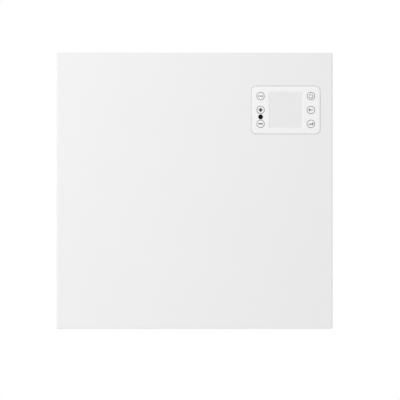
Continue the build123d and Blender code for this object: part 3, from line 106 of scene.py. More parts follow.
class Finish:
    """One material, or the world, with its nodes."""

    def __init__(self, name, world=False):
        if world:
            self.block = bpy.data.worlds.new(name)
        else:
            self.block = bpy.data.materials.new(name)
        self.block.use_nodes = True
        self.tree = self.block.node_tree
        self.shader = self.tree.nodes["Background" if world else "Principled BSDF"]

    def node(self, kind, settings=None, inputs=None, output=0):
        """Adds a node: its settings first, then the values or links of its sockets."""
        made = self.tree.nodes.new(kind)
        for key, value in (settings or {}).items():
            if key == "stops":
                ramp = made.color_ramp
                while len(ramp.elements) < len(value):
                    ramp.elements.new(1.0)
                for element, (position, colour) in zip(ramp.elements, value):
                    element.position = position
                    element.color = (*colour, 1.0)
            else:
                setattr(made, key, value)
        for key, value in (inputs or {}).items():
            if isinstance(value, Field):
                self.tree.links.new(value.socket, made.inputs[key])
            else:
                made.inputs[key].default_value = value
        return Field(self, made.outputs[output])

    def set(self, **values):
        """Sets the shader's own sockets: a plain value stays there, and a field is linked."""
        for name, value in values.items():
            socket = self.shader.inputs[name.replace("_", " ").title().replace("Ior", "IOR")]
            if isinstance(value, Field):
                self.tree.links.new(value.socket, socket)
            elif isinstance(value, tuple) and len(value) == 3:
                socket.default_value = (*value, 1.0)
            else:
                socket.default_value = value

    def place(self, stretch=(1.0, 1.0, 1.0)):
        """Object coordinates, stretched along the axes."""
        spot = self.node("ShaderNodeTexCoord", output="Object")
        if stretch == (1.0, 1.0, 1.0):
            return spot
        return self.node("ShaderNodeMapping", {}, {"Vector": spot, "Scale": stretch})

    def noise(self, grain, detail=2.0, stretch=(1.0, 1.0, 1.0)):
        """Cloudy noise whose lumps are about this many millimetres across."""
        inputs = {"Vector": self.place(stretch), "Scale": PER_METRE / grain, "Detail": detail}
        return self.node("ShaderNodeTexNoise", {}, inputs, output="Fac")

    def cells(self, grain, feature="F1", output="Distance"):
        """Cells about this many millimetres across."""
        inputs = {"Vector": self.place(), "Scale": PER_METRE / grain}
        return self.node("ShaderNodeTexVoronoi", {"feature": feature}, inputs, output=output)

    def bands(self, pitch, direction):
        """Stripes this many millimetres apart, across one axis.

        At a scale of 1 the node has 20 / (2 pi) = 3.18 stripes to the unit.
        """
        stripes = 3.18
        settings = {"wave_type": "BANDS", "bands_direction": direction}
        inputs = {"Vector": self.place(), "Scale": PER_METRE / pitch / stripes}
        return self.node("ShaderNodeTexWave", settings, inputs, output="Fac")

    def ramp(self, field, low, high):
        """Zero below low, one above high, and straight between them."""
        inputs = {"Value": field, "From Min": low, "From Max": high}
        return self.node("ShaderNodeMapRange", {"clamp": True}, inputs)

    def tint(self, factor, first, second):
        """A colour between two colours."""
        settings = {"data_type": "RGBA", "blend_type": "MIX"}
        pair = [c if isinstance(c, Field) else (*c, 1.0) for c in (first, second)]
        inputs = {0: factor, 6: pair[0], 7: pair[1]}
        return self.node("ShaderNodeMix", settings, inputs, output=2)

    def along(self, axis):
        """One of the object coordinates, in metres: X, Y or Z."""
        return self.node("ShaderNodeSeparateXYZ", {}, {"Vector": self.place()}, output=axis)

    def between(self, axis, low, high, soft=0.05):
        """One between two places along an axis and zero outside, all in millimetres."""
        spot = self.along(axis)
        rise = self.ramp(spot, (low - soft) * MM, (low + soft) * MM)
        fall = self.ramp(spot, (high - soft) * MM, (high + soft) * MM)
        return rise - fall

    def relief(self, height, depth, strength):
        """A bump: height from 0 to 1 over this many millimetres."""
        inputs = {"Height": height, "Distance": depth * MM, "Strength": strength}
        self.set(normal=self.node("ShaderNodeBump", {}, inputs, output="Normal"))


def shade(colour, share):
    """The same colour, lighter or darker by a share."""
    return tuple(min(1.0, max(0.0, channel * (1.0 + share))) for channel in colour)


# Finishes


def powder_coat(name, colour, roughness, peel=0.9):
    """Powder-coated steel: fine orange peel, with a slow change of sheen over the sheet."""
    finish = Finish(name)
    cloud = finish.noise(90.0, 3.0)
    speck = finish.noise(0.6, 1.0)
    finish.set(
        base_color=finish.tint(cloud, shade(colour, -0.008), shade(colour, 0.008)),
        roughness=roughness + (cloud - 0.5) * 0.06 + (speck - 0.5) * 0.05,
        coat_weight=0.08,
        coat_roughness=0.25,
    )
    finish.relief(finish.noise(peel, 2.0), 0.012, 0.35)
    return finish.block


def moulded(name, colour, roughness=0.45, grain=0.35, depth=0.012, shaded_gap=None):
    """Injection-moulded plastic: an even spark-eroded grain and faint flow clouds.

    The last argument, when given, is three things. The first is a place along Y in millimetres,
    and the sides of a gap behind it are painted darker as painted shade. The second is the
    colour of that painted shade. The third is a box of X and Z limits, where there is no painted
    shade, or None. Well below that box the painted shade is black.
    """
    finish = Finish(name)
    flow = finish.noise(22.0, 2.0)
    pits = finish.noise(grain, 2.0)
    body = finish.tint(flow, shade(colour, -0.015), shade(colour, 0.012))
    # Painted shade: the sides of the gaps behind the face are darkened to a grey
    if shaded_gap:
        behind, gap_shade, unshaded_box = shaded_gap
        wall, soft = 0.0, 0.15
        deep = finish.between("Y", behind, wall, soft)
        if unshaded_box:
            west, east, low, high = unshaded_box
            inside = finish.between("X", west, east) * finish.between("Z", low, high)
            deep = deep * (1.0 - inside)
            # Painted shade: the gaps well below the box, which the lamp above leaves dark, are
            # painted black
            black, pale = low - 8.0, low - 6.0
            foot = 1.0 - finish.ramp(finish.along("Z"), black * MM, pale * MM)
            gap_shade = finish.tint(foot, gap_shade, (0.0, 0.0, 0.0))
        body = finish.tint(deep, body, gap_shade)
    finish.set(base_color=body, roughness=roughness + (pits - 0.5) * 0.10)
    finish.relief(pits, depth, 0.4)
    return finish.block


def polished_plastic(name, colour, roughness):
    """Glossy moulded plastic with a faint waviness."""
    finish = Finish(name)
    wave = finish.noise(9.0, 1.0)
    finish.set(
        base_color=finish.tint(wave, shade(colour, -0.006), shade(colour, 0.006)),
        roughness=roughness + (finish.noise(1.5, 2.0) - 0.5) * 0.05,
        coat_weight=0.25,
        coat_roughness=0.1,
    )
    finish.relief(wave, 0.01, 0.15)
    return finish.block


def dark_lens(name, colour, middle):
    """Infrared-passing plastic: nearly black, and painted a little lighter in its middle."""
    finish = Finish(name)
    settings, inputs = {"operation": "DISTANCE"}, {0: finish.place(), 1: middle}
    away = finish.node("ShaderNodeVectorMath", settings, inputs, output="Value")
    full, none = 0.5 * MM, 1.6 * MM
    core = 1.0 - finish.ramp(away, full, none)
    finish.set(
        base_color=finish.tint(core, colour, (0.03, 0.03, 0.031)),
        roughness=0.3 + finish.noise(1.0) * 0.08,
        specular_ior_level=0.0,
    )
    return finish.block


def screen_glass(name, colour, low, high):
    """The display's clear cover: a pale film under it, and a painted shadow, a darker line near
    the top where the bezel's upper edge shades the recessed cover.
    """
    finish = Finish(name)
    dot = 0.45
    dots = finish.bands(dot, "X") * finish.bands(dot, "Z")
    film = finish.tint(dots, shade(colour, -0.006), shade(colour, 0.006))
    # The painted shadow line under the top edge, in millimetres from the middle of the cover
    foot, top, left, right = 23.4, 25.6, -17.0, 16.0
    middle = (low + high) / 2 / MM
    edge = finish.between("Z", middle.z + foot, middle.z + top, 0.3)
    edge = edge * finish.between("X", middle.x + left, middle.x + right, 2.0)
    finish.set(
        base_color=finish.tint(edge, film, shade(colour, -0.04)),
        roughness=0.2 + finish.noise(6.0, 2.0) * 0.06,
        coat_weight=0.2,
        coat_roughness=0.08,
    )
    return finish.block


def galvanised(name, colour):
    """Hot-dip zinc: spangles a few millimetres across, each with its own brightness."""
    finish = Finish(name)
    spangle = finish.cells(5.0, output="Color")
    tone = finish.node("ShaderNodeSeparateColor", {}, {"Color": spangle}, output="Red")
    scuff = finish.noise(0.5, 3.0, (1.0, 1.0, 0.08))
    finish.set(
        base_color=finish.tint(tone, shade(colour, -0.09), shade(colour, 0.07)),
        metallic=1.0,
        roughness=0.30 + tone * 0.18 + scuff * 0.08,
    )
    finish.relief(tone, 0.01, 0.25)
    return finish.block


def plated(name, colour, roughness=0.32):
    """Zinc-plated or plain metal: fine random scratches and a cloudy shine."""
    finish = Finish(name)
    scratch = finish.noise(0.25, 4.0, (1.0, 0.2, 1.0))
    cloud = finish.noise(12.0, 2.0)
    finish.set(
        base_color=finish.tint(cloud, shade(colour, -0.07), shade(colour, 0.05)),
        metallic=1.0,
        roughness=roughness + (scratch - 0.5) * 0.16,
    )
    finish.relief(scratch, 0.006, 0.3)
    return finish.block


def extruded(name, colour):
    """Extruded aluminium: die lines along the length of the profile."""
    finish = Finish(name)
    lines = finish.noise(0.4, 3.0, (0.01, 1.0, 1.0))
    finish.set(
        base_color=finish.tint(lines, shade(colour, -0.10), shade(colour, 0.05)),
        metallic=1.0,
        roughness=0.26 + lines * 0.16,
    )
    finish.relief(lines, 0.02, 0.5)
    return finish.block


def heated_steel(name, colour):
    """Sheath steel that has been hot: straw to blue tints in patches."""
    finish = Finish(name)
    heat = finish.noise(30.0, 3.0, (1.0, 0.3, 0.3))
    stops = [(0.25, colour), (0.5, (0.52, 0.42, 0.30)), (0.75, (0.28, 0.30, 0.38))]
    finish.set(
        base_color=finish.node("ShaderNodeValToRGB", {"stops": stops}, {"Fac": heat}),
        metallic=1.0,
        roughness=0.34 + finish.noise(0.3, 3.0) * 0.12,
    )
    return finish.block


def circuit_board(name, colour):
    """Green board: copper tracks under the varnish, a little lighter and raised."""
    finish = Finish(name)
    edge = finish.cells(4.0, "DISTANCE_TO_EDGE")
    track = 1.0 - finish.ramp(edge, 0.05, 0.09)
    pads = finish.cells(2.6) > 0.42
    copper = track * pads
    finish.set(
        base_color=finish.tint(copper, colour, (0.16, 0.42, 0.22)),
        roughness=0.34 - copper * 0.08,
    )
    finish.relief(copper, 0.03, 0.5)
    return finish.block


def ceramic(name, colour):
    """Unglazed ceramic: chalky, with pin-holes."""
    finish = Finish(name)
    holes = finish.ramp(finish.cells(1.2), 0.05, 0.3)
    finish.set(
        base_color=finish.tint(finish.noise(4.0), shade(colour, -0.06), colour),
        roughness=0.78 + holes * 0.1,
    )
    finish.relief(holes, 0.03, 0.6)
    return finish.block


def insulation(name, colour, roughness=0.5):
    """Lead insulation: smooth, with the faint pull marks of the extruder."""
    finish = Finish(name)
    pull = finish.noise(1.0, 2.0)
    finish.set(
        base_color=finish.tint(pull, shade(colour, -0.06), shade(colour, 0.05)),
        roughness=roughness + (pull - 0.5) * 0.12,
    )
    finish.relief(pull, 0.02, 0.3)
    return finish.block


def striped(name, first, second, pitch, direction):
    """Two colours in even stripes, as on an earth lead or a flat cable."""
    finish = Finish(name)
    stripe = finish.ramp(finish.bands(pitch, direction), 0.45, 0.55)
    finish.set(base_color=finish.tint(stripe, first, second), roughness=0.5)
    finish.relief(stripe, 0.05, 0.3)
    return finish.block


def printed_ink(name, colour):
    """Screen-printed ink: matte, with a slightly uneven film."""
    finish = Finish(name)
    film = finish.noise(0.3, 3.0)
    finish.set(
        base_color=finish.tint(film, shade(colour, -0.12), shade(colour, 0.12)),
        roughness=0.55 + film * 0.1,
    )
    return finish.block


def studio_floor(name, colour, fade_start, fade_end):
    """A pale floor that catches the shadow and runs out into white with distance.

    Only the camera sees the white, and from below the floor is clear.
    """
    finish = Finish(name)
    spot = finish.place()
    settings = {"operation": "LENGTH"}
    away = finish.node("ShaderNodeVectorMath", settings, {0: spot}, output="Value")
    seen = finish.node("ShaderNodeLightPath", output="Is Camera Ray")
    fade = finish.ramp(away, fade_start, fade_end)
    white = {"Strength": 1.0, "Color": (1.0, 1.0, 1.0, 1.0)}
    glow = finish.node("ShaderNodeEmission", {}, white)
    tone = finish.tint(finish.noise(60.0), shade(colour, -0.01), shade(colour, 0.01))
    finish.set(base_color=tone, roughness=0.9)
    paper = Field(finish, finish.shader.outputs[0])
    lit = finish.node("ShaderNodeMixShader", {}, {0: fade * seen, 1: paper, 2: glow})
    below = finish.node("ShaderNodeNewGeometry", output="Backfacing")
    clear = finish.node("ShaderNodeBsdfTransparent")
    whole = finish.node("ShaderNodeMixShader", {}, {0: below, 1: lit, 2: clear})
    output = finish.tree.nodes["Material Output"]
    finish.tree.links.new(whole.socket, output.inputs["Surface"])
    return finish.block


def studio_world(name, ambient):
    """White to the camera and to reflections, and a softer even light on the object."""
    finish = Finish(name, world=True)
    seen = finish.node("ShaderNodeLightPath", output="Is Camera Ray")
    gloss = finish.node("ShaderNodeLightPath", output="Is Glossy Ray")
    clear = finish.node("ShaderNodeLightPath", output="Is Transmission Ray")
    either = seen.math("MAXIMUM", seen, gloss)
    direct = seen.math("MAXIMUM", either, clear)
    finish.set(color=(1.0, 1.0, 1.0), strength=ambient + direct * (1.0 - ambient))
    return finish.block


# Shapes


def closed_mesh(name, grids, material, body):
    """Joins grids of points into one mesh: each grid wraps round in its second direction.

    In its first direction a grid closes where its end rows are single points or the same row.
    """
    same, sliver = 1e-7, 1e-8
    points = []
    faces = []
    start = 0
    for grid in grids:
        rows, columns = grid.shape[:2]
        index = start + np.arange(rows * columns).reshape(rows, columns)
        ahead = np.roll(index, -1, axis=1)
        quads = np.stack([index[:-1], ahead[:-1], ahead[1:], index[1:]], axis=-1)
        points.append(grid.reshape(-1, 3))
        faces.append(quads.reshape(-1, 4))
        start += rows * columns
    mesh = bpy.data.meshes.new(name)
    mesh.from_pydata(np.concatenate(points).tolist(), [], np.concatenate(faces).tolist())
    work = bmesh.new()
    work.from_mesh(mesh)
    bmesh.ops.remove_doubles(work, verts=work.verts, dist=same)
    bmesh.ops.dissolve_degenerate(work, edges=work.edges, dist=sliver)
    bmesh.ops.recalc_face_normals(work, faces=work.faces)
    work.to_mesh(mesh)
    work.free()
    mesh.polygons.foreach_set("use_smooth", np.ones(len(mesh.polygons), bool))
    mesh.materials.append(material)
    piece = bpy.data.objects.new(name, mesh)
    bpy.context.scene.collection.objects.link(piece)
    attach(piece, body)
    return piece


def squarish(angle, power):
    """Cosine and sine, each raised to a power with its sign kept: a rounded square."""
    cosine, sine = np.cos(angle), np.sin(angle)
    return np.sign(cosine) * abs(cosine) ** power, np.sign(sine) * abs(sine) ** power


def bead(path, half_width, thickness, axes, blunt=8):
    """A flat bead of ink along a path.

    The path gives two coordinates for a share s from 0 to 1. At each s the bead's section is a
    rounded square, half_width to each side of the path and half the thickness up and down. It
    shrinks to a point at both ends by (1 - |2s - 1|^(2 blunt))^(1/2): with blunt 1, a path as
    long as the bead is wide gives a round dot.
    """
    steps, ring, near = 40, 20, 1e-4
    share = (1.0 - np.cos(np.linspace(0.0, np.pi, steps))) / 2.0
    spot = path(share)
    ahead = path(np.clip(share + near, 0, 1)) - path(np.clip(share - near, 0, 1))
    ahead /= np.linalg.norm(ahead, axis=1, keepdims=True)
    side = np.stack([-ahead[:, 1], ahead[:, 0]], axis=1)
    ends = (1.0 - abs(2.0 * share - 1.0) ** (2 * blunt)) ** 0.5
    wide, high = squarish(np.linspace(0, 2 * np.pi, ring, endpoint=False), 0.4)
    flat = spot[:, None] + side[:, None] * (half_width * ends[:, None] * wide)[..., None]
    rise = thickness / 2.0 * ends[:, None] * high
    across, along, out = (np.array(axis) for axis in axes)
    return flat[..., :1] * across + flat[..., 1:] * along + rise[..., None] * out


def stroke(start, end):
    """A straight path from one point to another."""
    first, last = np.array(start, float), np.array(end, float)
    return lambda share: first + (last - first) * share[:, None]


def arc(centre, radius, begin, end):
    """A path round a centre between two angles, in degrees anticlockwise from the right."""
    middle = np.array(centre, float)

    def path(share):
        angle = np.radians(begin + (end - begin) * share)
        return middle + radius * np.stack([np.cos(angle), np.sin(angle)], axis=1)

    return path


def turned(profile, centre, axis, turns, waver=None):
    """A profile of radius and height carried round an axis.

    A point at angle t is centre + height * axis + radius * (cos t, sin t) across it. The waver
    adds to radius and height as a function of both and of the angle.
    """
    out = Vector(axis).normalized()
    first = out.orthogonal().normalized()
    second = out.cross(first)
    angle = np.linspace(0, 2 * np.pi, turns, endpoint=False)[None, :]
    radius = np.repeat(profile[:, :1], turns, axis=1)
    height = np.repeat(profile[:, 1:2], turns, axis=1)
    if waver:
        radius, height = waver(radius, height, angle)
    across = radius * np.cos(angle)
    along = radius * np.sin(angle)
    return (
        np.array(centre)
        + across[..., None] * np.array(first)
        + along[..., None] * np.array(second)
        + height[..., None] * np.array(out)
    )


def rim(half_width, half_height, corner, thick):
    """A closed loop of round section along a rectangle with round corners, facing -Y.

    At angle t the line lies at (w - c) sgn(cos t) + c cos t across and (h - c) sgn(sin t) +
    c sin t up, where w and h are the half sizes and c is the corner's radius. The section is a
    circle of radius thick across the line.
    """
    quarter, ring = 10, 12
    bend = np.linspace(0, np.pi / 2, quarter)
    angle = np.concatenate([bend + k * np.pi / 2 for k in range(4)])
    turn = np.repeat(np.arange(4), quarter) * np.pi / 2 + np.pi / 4
    across = (half_width - corner) * np.sign(np.cos(turn)) + corner * np.cos(angle)
    upward = (half_height - corner) * np.sign(np.sin(turn)) + corner * np.sin(angle)
    round_it = np.linspace(0, 2 * np.pi, ring, endpoint=False)[None, :]
    reach = thick * np.cos(round_it)
    grid = np.stack(
        [
            across[:, None] + reach * np.cos(angle)[:, None],
            thick * np.sin(round_it) + 0.0 * across[:, None],
            upward[:, None] + reach * np.sin(angle)[:, None],
        ],
        axis=-1,
    )
    return np.concatenate([grid, grid[:1]])


def resampled(corners, count):
    """Points at equal steps along a run of straight lines, with the lines' own ends."""
    corners = np.array(corners, float)
    reach = np.concatenate([[0], np.cumsum(np.linalg.norm(np.diff(corners, axis=0), axis=1))])
    spots = np.unique(np.concatenate([np.linspace(0, reach[-1], count), reach]))
    return np.stack([np.interp(spots, reach, corners[:, i]) for i in (0, 1)], axis=1)


def cross_screw(seat, axis, head_radius, head_height, shank_radius, length):
    """A pan-head screw: a domed head with a cross recess, and a threaded shank behind it.

    The dome's height is head_height * (1 - (r / R)^5)^(1/2) for a head of radius R. The recess
    sinks it by 0.55 head_height times two soft steps 1 / (1 + e^(d / s)). One is down within
    0.13 R of the nearer middle line of the cross, the other within 0.62 R of the farther one.
    The thread cuts a wave of 0.9 mm pitch up to 0.2 of the shank's radius deep.
    """
    arm, reach = 0.13 * head_radius, 0.62 * head_radius
    soft, sink = 0.12 * arm, 0.55 * head_height
    wave, pitch = 0.10 * shank_radius, 0.9 * MM
    neck, core = 0.3 * head_height, 0.5 * shank_radius
    dome = np.linspace(0.0, 1.0, 26)
    head = np.stack([head_radius * dome, head_height * np.sqrt(1.0 - dome**5)], axis=1)
    run = np.linspace(0.0, 1.0, 60)
    taper = np.clip((1.0 - run) * 6.0, 0.0, 1.0)
    shank = np.stack([shank_radius * taper, -length * run], axis=1)
    profile = np.concatenate([head, shank])

    def within(distance, limit):
        return 1.0 / (1.0 + np.exp((distance - limit) / soft))

    def cut(radius, height, angle):
        across = abs(radius * np.cos(angle))
        along = abs(radius * np.sin(angle))
        near, far = np.minimum(across, along), np.maximum(across, along)
        on_top = height > 1e-9
        sunk = height - sink * within(near, arm) * within(far, reach) * on_top
        thread = wave * np.cos(angle + 2 * np.pi * height / pitch)
        on_shank = (height < -neck) & (radius > core)
        return radius + (thread - wave) * on_shank, sunk

    return turned(profile, seat, axis, 48, cut)


# Sizes and colours that a user may change


def paint(name, description, default):
    """A colour that a user may change."""
    return FloatVectorProperty(
        name=name, description=description, subtype="COLOR", default=default, min=0.0, max=1.0
    )


class HeaterColours(bpy.types.PropertyGroup):
    panel: paint("Front panel", "Powder coat of the front panel", (0.87, 0.87, 0.87))
    casing: paint("Casing", "Powder coat of the casing, plate and cover", (0.82, 0.82, 0.82))
    keypad: paint("Keypad", "Plastic of the bezel and keys", (0.926, 0.926, 0.926))
    screen: paint("Screen", "Pale grey of the display when off", (0.85, 0.85, 0.848))
    ink: paint("Ink", "Symbols on the keys", (0.03, 0.03, 0.033))


class HeaterDetail(bpy.types.PropertyGroup):
    ink_height: FloatProperty(
        name="Ink height",
        description="How far the printed symbols stand above the keys",
        subtype="DISTANCE",
        unit="LENGTH",
        default=0.06 * MM,
        min=0.0,
    )
    symbol_scale: FloatProperty(
        name="Symbol scale",
        description="Size of the key symbols against the printed ones",
        subtype="FACTOR",
        default=1.0,
        min=0.2,
        max=1.4,
    )
    gland_grips: IntProperty(
        name="Gland grips",
        description="Number of finger grips round the cord gland",
        default=18,
        min=6,
        max=40,
    )


class HeaterStudio(bpy.types.PropertyGroup):
    lamp_power: FloatProperty(
        name="Lamp",
        description="Power of the large lamp in front, at the upper left",
        unit="POWER",
        default=87.0,
        min=0.0,
    )
    rear_lamp_power: FloatProperty(
        name="Rear lamp",
        description="Power of the lamp behind the heater, which lights its back and sides",
        unit="POWER",
        default=50.0,
        min=0.0,
    )
    ambient: FloatProperty(
        name="Ambient",
        description="Strength of the even light from all round",
        subtype="FACTOR",
        default=0.405,
        min=0.0,
        max=2.0,
    )
    camera_distance: FloatProperty(
        name="Camera distance",
        description="From the camera to the face of the front panel",
        subtype="DISTANCE",
        unit="LENGTH",
        default=4.5,
        min=0.5,
    )
    floor_drop: FloatProperty(
        name="Floor drop",
        description="Height of the heater's middle above the floor",
        subtype="DISTANCE",
        unit="LENGTH",
        default=0.62,
        min=0.25,
    )


def dress(material, *nodes):
    """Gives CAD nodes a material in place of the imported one."""
    for node in nodes:
        mesh = frame["nodes"][node].data
        mesh.materials.clear()
        mesh.materials.append(material)


def front_middle(node):
    """The middle of the front side of a CAD node's box."""
    low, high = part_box(node)
    return (low.x + high.x) / 2, low.y, (low.z + high.z) / 2


def corners_of(node):
    """Every vertex of a CAD node, as an array of places."""
    piece = frame["nodes"][node]
    points = np.empty(len(piece.data.vertices) * 3)
    piece.data.vertices.foreach_get("co", points)
    turn = np.array(piece.matrix_world)
    return points.reshape(-1, 3) @ turn[:3, :3].T + turn[:3, 3]


def middles(values, gap):
    """The middle of each run of values that lie closer together than the gap."""
    values = np.unique(np.round(values, 6))
    runs = np.split(values, np.flatnonzero(np.diff(values) > gap) + 1)
    return [(run[0] + run[-1]) / 2 for run in runs]


# One operator for each group of like pieces


class HEATER_OT_paint_sheets(bpy.types.Operator):
    """Powder-coats the front panel, casing, intake plate and cord entry cover"""

    bl_idname = "heater.paint_sheets"
    bl_label = "Paint the sheet metal"

    def execute(self, context):
        colours = context.scene.heater_colours
        dress(powder_coat("panel_powder_coat", tuple(colours.panel), 0.40), "front_panel")
        casing = powder_coat("casing_powder_coat", tuple(colours.casing), 0.46, 1.1)
        dress(casing, "rear_casing", "intake_grille", "entry_cover")
        return {"FINISHED"}


class HEATER_OT_finish_metals(bpy.types.Operator):
    """Finishes the bracket, inner sheets, element, rivets and other bare metal"""

    bl_idname = "heater.finish_metals"
    bl_label = "Finish the bare metal"

    def execute(self, context):
        dress(galvanised("galvanised_bracket", (0.60, 0.61, 0.62)), "wall_bracket")
        sheet = galvanised("galvanised_sheet", (0.66, 0.67, 0.68))
        dress(sheet, "partition", "heat_shield", "bezel_clamps")
        dress(sheet, "element_holder_left", "element_holder_right")
        zinc = plated("zinc_plate", (0.68, 0.68, 0.69))
        dress(zinc, "back_rivets", "control_screws", "board_screws")
        dress(extruded("fin_aluminium", (0.76, 0.77, 0.78)), "heating_element")
        dress(heated_steel("element_sheath", (0.50, 0.50, 0.51)), "element_rod")
        dress(plated("cutout_can", (0.56, 0.56, 0.57), 0.28), "thermal_cutout")
        dress(plated("brass", (0.72, 0.56, 0.28), 0.26), "board_standoffs", "earth_stud")
        return {"FINISHED"}


class HEATER_OT_finish_plastics(bpy.types.Operator):
    """Finishes the keypad, grille, latches, switch and other mouldings"""

    bl_idname = "heater.finish_plastics"
    bl_label = "Finish the plastics"

    def execute(self, context):
        colours = context.scene.heater_colours
        keypad = tuple(colours.keypad)
        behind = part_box("control_bezel")[0].y / MM + 1.2
        # Painted shade for the narrow gaps round the bezel and the keys: a dark grey, turning
        # black in the bezel's gap well below the window
        gap_shade = (0.22, 0.22, 0.22)
        low, high = (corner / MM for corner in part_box("display_window"))
        shaded_gap = (behind, gap_shade, (low.x, high.x, low.z, high.z))
        dress(moulded("bezel_plastic", keypad, 0.36, 0.5, 0.006, shaded_gap), "control_bezel")
        shaded_gap = (behind, gap_shade, None)
        keys = moulded("key_plastic", shade(keypad, 0.005), 0.34, 0.5, 0.006, shaded_gap)
        dress(keys, *KEYS)
        glass = screen_glass("screen_glass", tuple(colours.screen), *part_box("display_window"))
        dress(glass, "display_window")
        dress(moulded("screen_frame", (0.70, 0.72, 0.70)), "display_module")
        lens = dark_lens("eye_plastic", (0.004, 0.004, 0.004), front_middle("eye_lens"))
        dress(lens, "eye_lens")
        dress(moulded("outlet_plastic", (0.80, 0.80, 0.79), 0.5, 0.4, 0.015), "outlet_grille")
        housing = moulded("housing_plastic", (0.74, 0.74, 0.73), 0.55)
        dress(housing, "control_housing", "mains_terminal", "board_sockets", "gland_nut")
        dress(moulded("sensor_plastic", (0.82, 0.82, 0.81), 0.4), "room_sensor")
        latch = moulded("latch_plastic", (0.42, 0.43, 0.45), 0.5, 0.5, 0.02)
        dress(latch, "latch_left", "latch_right")
        dress(moulded("switch_plastic", (0.025, 0.025, 0.028), 0.4, 0.3, 0.02), "switch_body")
        dress(polished_plastic("rocker_plastic", (0.022, 0.022, 0.025), 0.3), "switch_rocker")
        black = moulded("black_moulding", (0.03, 0.03, 0.033), 0.5)
        dress(black, "eye_receiver", "key_switches", "transformer")
        dress(moulded("relay_plastic", (0.09, 0.18, 0.40), 0.4), "relay")
        dress(moulded("capacitor_plastic", (0.62, 0.46, 0.09), 0.4), "capacitor")
        dress(moulded("terminal_plastic", (0.10, 0.36, 0.18), 0.45), "board_terminals")
        return {"FINISHED"}


class HEATER_OT_finish_electrics(bpy.types.Operator):
    """Finishes the boards, leads, ribbon, grommet and ceramic bushes"""

    bl_idname = "heater.finish_electrics"
    bl_label = "Finish boards and leads"

    def execute(self, context):
        board = circuit_board("board_varnish", (0.03, 0.20, 0.09))
        dress(board, "control_board", "supply_board")
        bush = ceramic("bush_ceramic", (0.86, 0.83, 0.76))
        dress(bush, "element_bush_left", "element_bush_right")
        dress(insulation("silicone_sleeve", (0.80, 0.78, 0.73), 0.6), "chamber_leads")
        dress(insulation("blue_insulation", (0.05, 0.16, 0.50)), "neutral_lead")
        dress(insulation("brown_insulation", (0.24, 0.11, 0.05)), "live_leads")
        dress(insulation("black_insulation", (0.03, 0.03, 0.03)), "sensor_lead")
        dress(insulation("grommet_rubber", (0.025, 0.025, 0.025), 0.7), "lead_grommet")
        green, yellow = (0.10, 0.40, 0.08), (0.75, 0.66, 0.06)
        dress(striped("earth_insulation", green, yellow, 3.0, "DIAGONAL"), "earth_lead")
        dark, pale = (0.46, 0.46, 0.48), (0.60, 0.60, 0.62)
        ribbon = striped("ribbon_insulation", dark, pale, 1.27, "X")
        dress(ribbon, "control_ribbon")
        return {"FINISHED"}


class HEATER_OT_print_keys(bpy.types.Operator):
    """Prints a plain symbol on each of the six keys and a ring round it"""

    bl_idname = "heater.print_keys"
    bl_label = "Print the key symbols"

    def symbols(self):
        """Each key's strokes: a path and its half width, in millimetres from the middle."""
        ring = arc((0.0, -0.1), 2.9, 122.0, 418.0)
        bars = ((-2.8, -0.3), (0, 0.7), (2.8, 1.7))
        return {
            "key_menu": [(stroke((x - 1.0, 0), (x + 1.0, 0)), 1.0) for x in (-2.9, 0.0, 2.9)],
            "key_plus": [
                (stroke((-3.2, 0), (3.2, 0)), 1.2),
                (stroke((0, -3.2), (0, 3.2)), 1.2),
            ],
            "key_minus": [(stroke((-3.6, 0), (3.6, 0)), 0.85)],
            "key_power": [(ring, 0.38), (stroke((0, 0.3), (0, 3.7)), 0.38)],
            "key_back": [
                (stroke((-3.3, 0), (3.3, 0)), 0.5),
                (stroke((-3.5, -0.12), (-1.3, 2.0)), 0.5),
                (stroke((-3.5, 0.12), (-1.3, -2.0)), 0.5),
            ],
            "key_level": [(stroke((x, -1.7), (x, top)), 0.95) for x, top in bars],
        }

    def execute(self, context):
        detail = context.scene.heater_detail
        ink = printed_ink("key_ink", tuple(context.scene.heater_colours.ink))
        size = MM * detail.symbol_scale
        facing = ((1, 0, 0), (0, 0, 1), (0, -1, 0))
        for key, strokes in self.symbols().items():
            seat = np.array(front_middle(key))
            # Round dots on the menu key, and square ends on every other
            blunt = 1 if key == "key_menu" else 8
            thick = 2.0 * detail.ink_height / size
            grids = [
                bead(path, half, thick, facing, blunt) * size + seat for path, half in strokes
            ]
            closed_mesh(f"{key}_symbol", grids, ink, key)
        self.print_rings(detail.ink_height)
        return {"FINISHED"}

    def print_rings(self, height):
        """A grey ring round each key: a rounded square carried round the key's axis."""
        radius, half_line = 6.12 * MM, 0.24 * MM
        grey = printed_ink("ring_ink", (0.20, 0.20, 0.195))
        wide, high = squarish(np.linspace(0, 2 * np.pi, 17), 0.5)
        section = np.stack([radius + half_line * wide, height * high], axis=1)
        grids = [turned(section, front_middle(key), (0, -1, 0), 96) for key in KEYS]
        closed_mesh("key_rings", grids, grey, "heater")


class HEATER_OT_seal_window(bpy.types.Operator):
    """Lays the thin white seal round the display's cover"""

    bl_idname = "heater.seal_window"
    bl_label = "Seal the window"

    def execute(self, context):
        gap, corner, thick, sunk = 0.1 * MM, 0.4 * MM, 0.3 * MM, 0.06 * MM
        points = corners_of("display_window")
        front = points[:, 1].min()
        face = points[points[:, 1] < front + gap]
        low, high = face.min(axis=0), face.max(axis=0)
        middle = (low + high) / 2
        keypad = tuple(context.scene.heater_colours.keypad)
        wide, tall = (high[0] - low[0]) / 2 + gap, (high[2] - low[2]) / 2 + gap
        grid = rim(wide, tall, corner, thick)
        seat = np.array((middle[0], front + sunk, middle[2]))
        white = moulded("seal_plastic", keypad, 0.4, 0.5, 0.004)
        closed_mesh("window_seal", [grid + seat], white, "heater")
        return {"FINISHED"}


